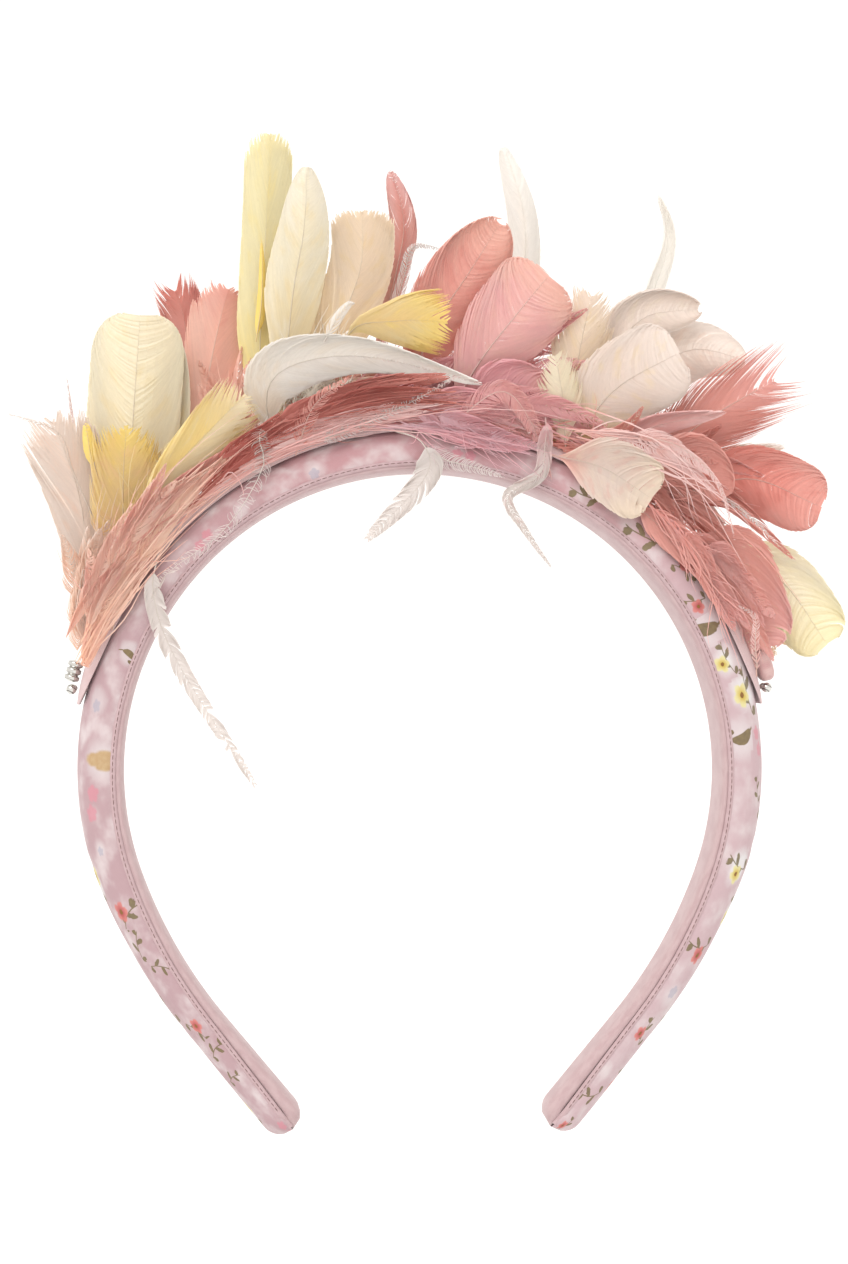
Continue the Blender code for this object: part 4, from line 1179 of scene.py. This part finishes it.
SPRIGS = (
    sprig(-183, 0.105, PINK_DOTS, 20, 1.17),
    sprig(-167, 0.22, SPRAY, 90, 0.91),
    sprig(-160, 0.165, SPRAY, 100, 1.04),
    sprig(-155, 0.2, RED_FLOWER, 30, 1.04),
    sprig(-140, 0.12, SPRAY, 60, 0.91),
    sprig(-134, 0.235, SPRAY, 150, 1.04),
    sprig(-128, 0.19, RED_FLOWER, 120, 1.30),
    sprig(-114, 0.205, BLUE_FLOWER, 0, 0.65),
    sprig(-105, 0.21, PINK_DOTS, 0, 1.56),
    sprig(-97, 0.115, TAN_LEAF, 85, 1.62),
    sprig(-86, 0.22, BLUE_FLOWER, 20, 0.91),
    sprig(-75, 0.09, OLIVE_LEAF, 70, 0.78),
    sprig(-48, 0.11, PINK_DOTS, 30, 1.04),
    sprig(-22, 0.11, BLUE_FLOWER, 80, 0.78),
    sprig(8, 0.11, PINK_DOTS, 10, 1.04),
    sprig(34, 0.12, SPRAY, 15, 1.17),
    sprig(48, 0.135, SPRAY, 20, 1.43),
    sprig(58, 0.2, RED_FLOWER, 200, 0.91),
    sprig(64, 0.13, RED_FLOWER, 70, 0.91),
    sprig(70, 0.105, OLIVE_LEAF, 75, 1.62),
    sprig(77, 0.15, YELLOW_FLOWER, 10, 1.04),
    sprig(84, 0.25, YELLOW_FLOWER, 0, 1.43),
    sprig(93, 0.145, OLIVE_LEAF, 110, 1.43),
    sprig(94, 0.312, PINK_DOTS, 30, 1.30),
    sprig(103, 0.29, SPRAY, 20, 0.78),
    sprig(118, 0.225, YELLOW_FLOWER, 75, 1.17),
    sprig(136, 0.197, RED_FLOWER, 100, 1.17),
    sprig(147, 0.205, BLUE_FLOWER, 45, 1.04),
    sprig(156, 0.21, RED_FLOWER, 20, 1.04),
    sprig(174, 0.155, SPRAY, 110, 1.17),
    sprig(182, 0.16, RED_FLOWER, 0, 0.78),
    sprig(-176, 0.46, YELLOW_FLOWER, 40, 1.17),
    sprig(-148, 0.44, SPRAY, 200, 1.30),
    sprig(-120, 0.47, YELLOW_FLOWER, 20, 1.30),
    sprig(110, 0.46, SPRAY, 200, 1.17),
    sprig(127, 0.42, YELLOW_FLOWER, 30, 1.17),
    sprig(150, 0.46, YELLOW_FLOWER, 120, 1.17),
    sprig(168, 0.42, RED_FLOWER, 40, 1.17),
    sprig(-168, 0.74, RED_FLOWER, 200, 1.17),
    sprig(-140, 0.66, SPRAY, 250, 1.30),
    sprig(-115, 0.76, YELLOW_FLOWER, 20, 1.43),
    sprig(-88, 0.68, RED_FLOWER, 140, 1.43),
    sprig(-60, 0.8, OLIVE_LEAF, 50, 1.43),
    sprig(-32, 0.84, YELLOW_FLOWER, 270, 1.30),
    sprig(-5, 0.86, RED_FLOWER, 15, 1.30),
    sprig(22, 0.83, BLUE_FLOWER, 110, 1.43),
    sprig(50, 0.82, YELLOW_FLOWER, 190, 1.43),
    sprig(72, 0.76, PINK_DOTS, 60, 1.30),
    sprig(96, 0.68, OLIVE_LEAF, 330, 1.43),
    sprig(120, 0.78, RED_FLOWER, 80, 1.30),
    sprig(149, 0.7, YELLOW_FLOWER, 160, 1.30),
    sprig(170, 0.76, BLUE_FLOWER, 30, 1.17),
)
GIRTH_LENGTH = 32.0


def chart_sprigs(piece, rows):
    """Gives each face of the cover its nearest sprig, and each corner its place on that sprig's map."""
    cloth = np.empty(len(piece.data.vertices) * 3, np.float32)
    piece.data.attributes["cloth"].data.foreach_get("vector", cloth)
    flat = cloth.reshape(-1, 3)[:, :2] / MM
    corners = np.empty(len(piece.data.loops), np.int32)
    piece.data.loops.foreach_get("vertex_index", corners)
    middle = flat[corners].reshape(-1, 4, 2).mean(axis=1)
    centres = np.array([(row["at"], row["girth"] * GIRTH_LENGTH) for row in rows])
    nearest = np.linalg.norm(middle[:, None] - centres[None], axis=2).argmin(axis=1)
    chosen = np.repeat(nearest, 4)
    turns = np.radians([row["turn"] for row in rows])[chosen]
    sizes = np.array([row["size"] for row in rows])[chosen]
    kinds = np.array([row["kind"] for row in rows], float)[chosen]
    away = flat[corners] - centres[chosen]
    x = (away[:, 0] * np.cos(turns) + away[:, 1] * np.sin(turns)) / sizes
    y = (away[:, 1] * np.cos(turns) - away[:, 0] * np.sin(turns)) / sizes
    kept = piece.data.attributes.new("sprig", "FLOAT_VECTOR", "CORNER")
    kept.data.foreach_set("vector", np.stack([x, y, kinds], axis=-1).astype(np.float32).ravel())


chart_sprigs(cover, SPRIGS)
print(len(SPRIGS), "sprigs")

# %% Look of the printed cotton
THREAD_HEIGHT = 0.0001


def weave(look, along, around, pitch):
    """Threads over and under each other, as a height between 0 and 1."""
    rate = 2 * math.pi / pitch
    warp = look.maths("SINE", along * rate)
    weft = look.maths("SINE", around * rate)
    return warp * weft * 0.5 + 0.5


def woven(look, colour, threads, bumps, roughness, sheen):
    """Finishes a cloth look, with its threads as a fine bump."""
    sockets = {"Strength": bumps, "Distance": THREAD_HEIGHT, "Height": threads}
    bump = look.node("ShaderNodeBump", None, sockets, "Normal")
    return look.finish(
        look.principled({"Base Color": colour, "Roughness": roughness, "Sheen Weight": sheen, "Normal": bump})
    )


def flower(look, x, y, at, radius, petals):
    """1 inside a flower with rounded petals, 0 outside."""
    dx = x - at[0]
    dy = y - at[1]
    away = (dx * dx + dy * dy) ** 0.5
    turn = look.maths("ARCTAN2", dy, dx)
    wave = look.maths("COSINE", turn * (petals / 2))
    lobe = look.maths("ABSOLUTE", wave)
    rim = radius * (0.70 + lobe * 0.30)
    return look.ramp(rim - away, -0.2, 0.25), away


def leaves(look, x, y, pitch, long, wide):
    """1 inside the leaves or the stem of a curved spray, 0 outside."""
    bent = y - x * x * 0.07
    place = x / pitch
    number = look.maths("FLOOR", place)
    odd = look.maths("PINGPONG", number, 1.0)
    lx = (place - number - 0.5) * pitch
    ly = bent * (odd * 2 - 1) - long * 0.72
    a = lx * 0.77 + ly * 0.64
    b = ly * 0.77 - lx * 0.64
    leaf = look.ramp(1 - (a / wide) ** 2 - (b / long) ** 2, -0.1, 0.25)
    size = look.maths("ABSOLUTE", bent)
    stem = look.ramp(0.11 - size, -0.05, 0.05)
    both = look.maths("MAXIMUM", leaf, stem)
    far = look.maths("ABSOLUTE", x)
    return both * look.ramp(3.4 - far, -0.1, 0.2)


def print_look():
    look = Look("printed_cotton")
    x, y, kind = look.fact("sprig")
    along, around_it, _ = look.fact("cloth")
    spot = look.join(along * 1000, around_it * 1000, 0.0)
    clouds = look.noise(spot, 0.16, 3.0)
    wash = look.noise(spot, 1.1, 2.0)
    # Painted shade: the ground is darker and pinker on the left arm than on the right.
    pink = look.blend(look.ramp(along, -0.09, 0.09), paint(203, 169, 174), paint(218, 188, 193))
    # Over the crown the ground turns a deeper pink: painted shadow of the feathers above it, with painted red
    # light bounced from them.
    far = look.maths("ABSOLUTE", along)
    pink = look.blend(look.ramp(far, 0.075, 0.02) * 0.8, pink, paint(208, 154, 158))
    ground = look.blend(look.ramp(clouds, 0.40, 0.75), pink, paint(236, 220, 221))
    x = x + (wash - 0.5) * 0.7
    y = y + (clouds - 0.5) * 0.7
    is_kind = [
        look.ramp(0.5 - look.maths("ABSOLUTE", kind - k), 0.0, 0.1)
        for k in KINDS
    ]
    patched = is_kind[BLUE_FLOWER] * 0.4 + is_kind[YELLOW_FLOWER]
    patched = patched + is_kind[OLIVE_LEAF] * 0.5 + is_kind[TAN_LEAF] * 0.5
    out = (x * x + y * y) ** 0.5 + (clouds - 0.5) * 6
    colour = look.blend(look.ramp(3.6 - out, 0.0, 2.4) * patched * 0.9, ground, paint(249, 246, 246))
    green = look.blend(wash, paint(150, 134, 84), paint(96, 82, 52))
    spray = leaves(look, x, y, 1.9, 1.15, 0.52)
    leafy = is_kind[RED_FLOWER] + is_kind[YELLOW_FLOWER] + is_kind[SPRAY]
    colour = look.blend(spray * leafy * 0.9, colour, green)
    big, away = flower(look, x, y, (0.4, -1.3), 1.75, 5)
    red = look.blend(look.ramp(away, 0.2, 1.6), paint(196, 84, 84), paint(232, 138, 130))
    colour = look.blend(big * is_kind[RED_FLOWER] * 0.92, colour, red)
    yellow = look.blend(look.ramp(away, 0.3, 1.5), paint(226, 196, 84), paint(246, 236, 170))
    colour = look.blend(big * is_kind[YELLOW_FLOWER] * 0.95, colour, yellow)
    heart = look.ramp(0.42 - away, -0.08, 0.08)
    colour = look.blend(heart * (is_kind[RED_FLOWER] + is_kind[YELLOW_FLOWER]), colour, paint(150, 104, 50))
    blue, away = flower(look, x, y, (-0.6, 0.4), 1.5, 5)
    colour = look.blend(blue * is_kind[BLUE_FLOWER] * 0.5, colour, paint(176, 176, 196))
    tan_leaf, _ = flower(look, x * 0.5, y, (0.1, 0.0), 1.35, 3)
    tan_leaf = tan_leaf * is_kind[TAN_LEAF] * 0.9
    colour = look.blend(tan_leaf, colour, look.blend(wash, paint(196, 152, 92), paint(220, 190, 140)))
    blade = look.ramp(1 - (x / 2.0) ** 2 - ((y - x * x * 0.12) / 0.85) ** 2, -0.08, 0.2)
    bud = look.ramp(1 - ((x + 1.7) / 0.8) ** 2 - ((y - 1.6) / 0.45) ** 2, -0.08, 0.2)
    stalk = look.ramp(0.16 - look.maths("ABSOLUTE", y - x * x * 0.12), -0.05, 0.05)
    stalk = stalk * look.ramp(3.3 - look.maths("ABSOLUTE", x), -0.1, 0.2)
    olive = look.blend(wash, paint(96, 76, 40), paint(150, 128, 72))
    shape = look.maths("MAXIMUM", look.maths("MAXIMUM", blade, bud), stalk)
    colour = look.blend(shape * is_kind[OLIVE_LEAF] * 0.92, colour, olive)
    for at in ((-1.3, 0.4), (1.1, -0.3)):
        dot, _ = flower(look, x, y, at, 1.15, 5)
        colour = look.blend(dot * is_kind[PINK_DOTS] * 0.7, colour, paint(232, 150, 164))
    threads = weave(look, along, around_it, 0.00042)
    # The threads' low places are painted darker, which is painted shade in the weave; the wash adds a random
    # tone.
    colour = look.shade(colour, 0.90 + threads * 0.06 + wash * 0.04)
    return woven(look, colour, threads, 0.25, 0.75, 0.15)


def plain_cloth_look(name, light, dark, pitch, scale):
    """Plain woven or felted cloth."""
    look = Look(name)
    along, around_it, _ = look.fact("cloth")
    spot = look.join(along * 1000, around_it * 1000, 0.0)
    wash = look.noise(spot, scale, 3.0)
    threads = weave(look, along, around_it, pitch)
    colour = look.blend(look.ramp(wash, 0.35, 0.65), light, dark)
    # The threads' low places are painted darker, which is painted shade in the weave.
    colour = look.shade(colour, 0.90 + threads * 0.08)
    return woven(look, colour, threads, 0.3, 0.8, 0.2)


cover.data.materials.append(print_look())
lining_cloth.data.materials.append(
    plain_cloth_look("lining_cotton", paint(221, 192, 193), paint(212, 180, 182), 0.0005, 0.3)
)
for piece, node in ((cover, "band_cover"), (lining_cloth, "inner_lining")):
    smooth(piece, 80)
    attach(piece, "root")
    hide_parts(node)
print("band dressed")

# %% [markdown]
# ## Strip, tab, stitches and silver ends
# The felt strip is a long flat tube, and the tab at its right end a short one, so both start as a
# straight tube. A thin soft roll fills each seam of the band. One stitch is a tiny stretched ball, and
# an Array repeats it along the seam. The silver ends are turned metal, which mirrors a room that isn't
# there, so dark bands that follow the direction of the surface stand for the room's dark side.

# %% Felt strip and tab
STRIP_ROUNDING = 0.8
STRIP_POWER = 16
TAB_ANGLE = 73.0
TAB_LENGTH = 0.0068
TAB_T = 0.0034
TAB_HALF_W = 0.0045
TAB_ROUNDING = 0.75
TAB_POWER = 4
SQUARE_SIDES = 0.6
SQUARE_FACES = 0.8


def flat_bar(share, turn, ends, half_width, thickness, rounding, power):
    """A flat tube laid along the arch between two angles. The higher the power, the squarer its ends."""
    first, last = ends
    angle = np.radians(first + (last - first) * share)
    bulge = np.sqrt(1 - rounding * np.abs(2 * share - 1) ** power)
    across = half_width * bulge * np.sign(np.cos(turn)) * np.abs(np.cos(turn)) ** SQUARE_SIDES
    up = thickness / 2 * (1 + bulge * np.sign(np.sin(turn)) * np.abs(np.sin(turn)) ** SQUARE_FACES)
    return angle, across, up


def bend(piece, angle, across, radius):
    """Lays a bar's points round the arch's centre."""
    places = np.stack([radius * np.sin(angle), across, radius * np.cos(angle) - INNER_R], axis=-1)
    return smooth(carry(piece, places, cloth=(angle * STRIP_R, across, 0.0)))


strip, share, turn = tube("strip_felt", 28, 170)
ends = (-STRIP_END, STRIP_END)
angle, across, up = flat_bar(share, turn, ends, STRIP_HALF_W, STRIP_T, STRIP_ROUNDING, STRIP_POWER)
bend(strip, angle, across, strip_top(across, np.degrees(angle)) - STRIP_T + up)
strip_look = plain_cloth_look("strip_felt", paint(240, 212, 212), paint(234, 203, 203), 0.0006, 0.5)
strip.data.materials.append(strip_look)
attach(strip, "root")
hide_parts("base_strip")

tab, share, turn = tube("tab_cloth", 24, 20)
half = math.degrees(TAB_LENGTH / 2 / STRIP_R)
ends = (TAB_ANGLE - half, TAB_ANGLE + half)
angle, across, up = flat_bar(share, turn, ends, TAB_HALF_W, TAB_T, TAB_ROUNDING, TAB_POWER)
bend(tab, angle, across, strip_top(0.0, TAB_ANGLE) + SEAT_GAP + up)
tab_look = plain_cloth_look("tab_satin", paint(240, 202, 198), paint(230, 182, 180), 0.0004, 0.6)
tab.data.materials.append(tab_look)
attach(tab, "root")
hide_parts("end_tab_right")
print("strip and tab ready")

# %% Stitches along both seams
STITCH_PITCH = 0.0013
STITCH_LONG = 0.00124
STITCH_R = 0.00009
SEAM_INSET = 0.975
CORD_R = 0.00046


def seam_cord(name, way):
    """The turned-in edges of cover and lining, as one soft roll that fills the seam."""
    piece, share, turn = tube(name, 8, 360)
    length = (share * 2 - 1) * (ARM_LENGTH - 0.001)
    _, half_width, lining, _ = section(length)
    across = way * (half_width * SEAM_INSET + np.cos(turn) * CORD_R)
    places = on_arch(length, across, lining - 0.0001 + np.sin(turn) * CORD_R * 1.4)
    return smooth(carry(piece, places, cloth=(length, turn * CORD_R, 0.0)))


def stitches(name, way):
    """One small stretched ball, repeated along the seam on the front (-1) or the back (1)."""
    clear_selection()
    count = int(2 * (ARM_LENGTH - 0.005) / STITCH_PITCH)
    bpy.ops.mesh.primitive_uv_sphere_add(segments=6, ring_count=5, radius=0.5)
    piece = bpy.context.object
    piece.name = name
    repeat(piece, count, (2, 0, 0))
    flat = points_of(piece)
    number = np.rint(flat[:, 0] / 2)
    length = (number - (count - 1) / 2) * STITCH_PITCH + (flat[:, 0] - 2 * number) * STITCH_LONG
    _, half_width, lining, _ = section(length)
    across = way * (half_width * SEAM_INSET + CORD_R * 0.92) + flat[:, 1] * 2 * STITCH_R
    up = lining - 0.0001 + flat[:, 2] * 2 * STITCH_R
    carry(piece, on_arch(length, across, up))
    return smooth(piece, 80)


thread = Look("seam_thread")
thread_colour = thread.noise(thread.node("ShaderNodeTexCoord", None, (), "Object"), 900.0)
thread_colour = thread.blend(thread_colour, paint(104, 78, 72), paint(150, 118, 116))
thread_material = thread.finish(thread.principled({"Base Color": thread_colour, "Roughness": 0.6}))
cord_look = plain_cloth_look("seam_cotton", paint(220, 190, 193), paint(211, 179, 182), 0.0005, 0.5)
for name, way in (("front_cord", -1), ("back_cord", 1)):
    cord = seam_cord(name, way)
    cord.data.materials.append(cord_look)
    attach(cord, "root")
for name, way in (("front_stitches", -1), ("back_stitches", 1)):
    row_of_stitches = stitches(name, way)
    row_of_stitches.data.materials.append(thread_material)
    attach(row_of_stitches, "root")
print("stitches ready")

# %% Silver ends
silver = Look("polished_silver")
spot = silver.node("ShaderNodeTexCoord", None, (), "Object")
worn = silver.ramp(silver.noise(spot, 700.0, 1.0), 0.55, 0.72)
side_x, side_y, side_z = silver.split(silver.node("ShaderNodeTexCoord", None, (), "Normal"))
band = silver.maths("SINE", side_z * 6 + side_x * 3 + side_y * 2)
dark = silver.ramp(band, 0.62, 0.98)
metal = silver.blend(dark * 0.8, (0.66, 0.65, 0.62, 1), (0.10, 0.09, 0.08, 1))
silver_material = silver.finish(
    silver.principled({"Base Color": metal, "Metallic": 1.0, "Roughness": 0.12 + worn * 0.15})
)
for node in ("end_bead_left", "end_ball_left", "end_bead_right", "end_ball_right"):
    low, high = (Vector(corner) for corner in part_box(node))
    clear_selection()
    bpy.ops.mesh.primitive_uv_sphere_add(segments=32, ring_count=20, radius=(high.z - low.z) / 2)
    ball = bpy.context.object
    ball.name = node + "_silver"
    middle = np.array((low + high) / 2)
    carry(ball, points_of(ball) + middle)
    smooth(ball)
    ball.data.materials.append(silver_material)
    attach(ball, "root")
    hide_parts(node)

BARREL_R = 0.0016
BARREL_LENGTH = 0.0046
BARREL_RINGS = 3
BARREL_GROOVE = 0.30
BARREL_ANGLE = -74.0
barrel, share, turn = tube("end_barrel_silver", 28, 40)
angle = math.radians(BARREL_ANGLE)
axis = np.array((math.cos(angle), 0.0, -math.sin(angle)))
out = np.array((math.sin(angle), 0.0, math.cos(angle)))
centre = out * (float(strip_top(0.0, BARREL_ANGLE)) + SEAT_GAP + BARREL_R) - np.array((0, 0, INNER_R))
cap = 1 - 0.5 * np.abs(2 * share - 1) ** 12
radius = BARREL_R * (1 - BARREL_GROOVE * np.cos(math.pi * BARREL_RINGS * share) ** 8) * cap
places = centre + axis * ((share - 0.5) * BARREL_LENGTH)[:, None]
places = places + np.outer(np.cos(turn) * radius, (0, 1, 0)) + np.outer(np.sin(turn) * radius, out)
carry(barrel, places)
smooth(barrel)
barrel.data.materials.append(silver_material)
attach(barrel, "root")
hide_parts("end_barrel_left")
print("silver ends ready")
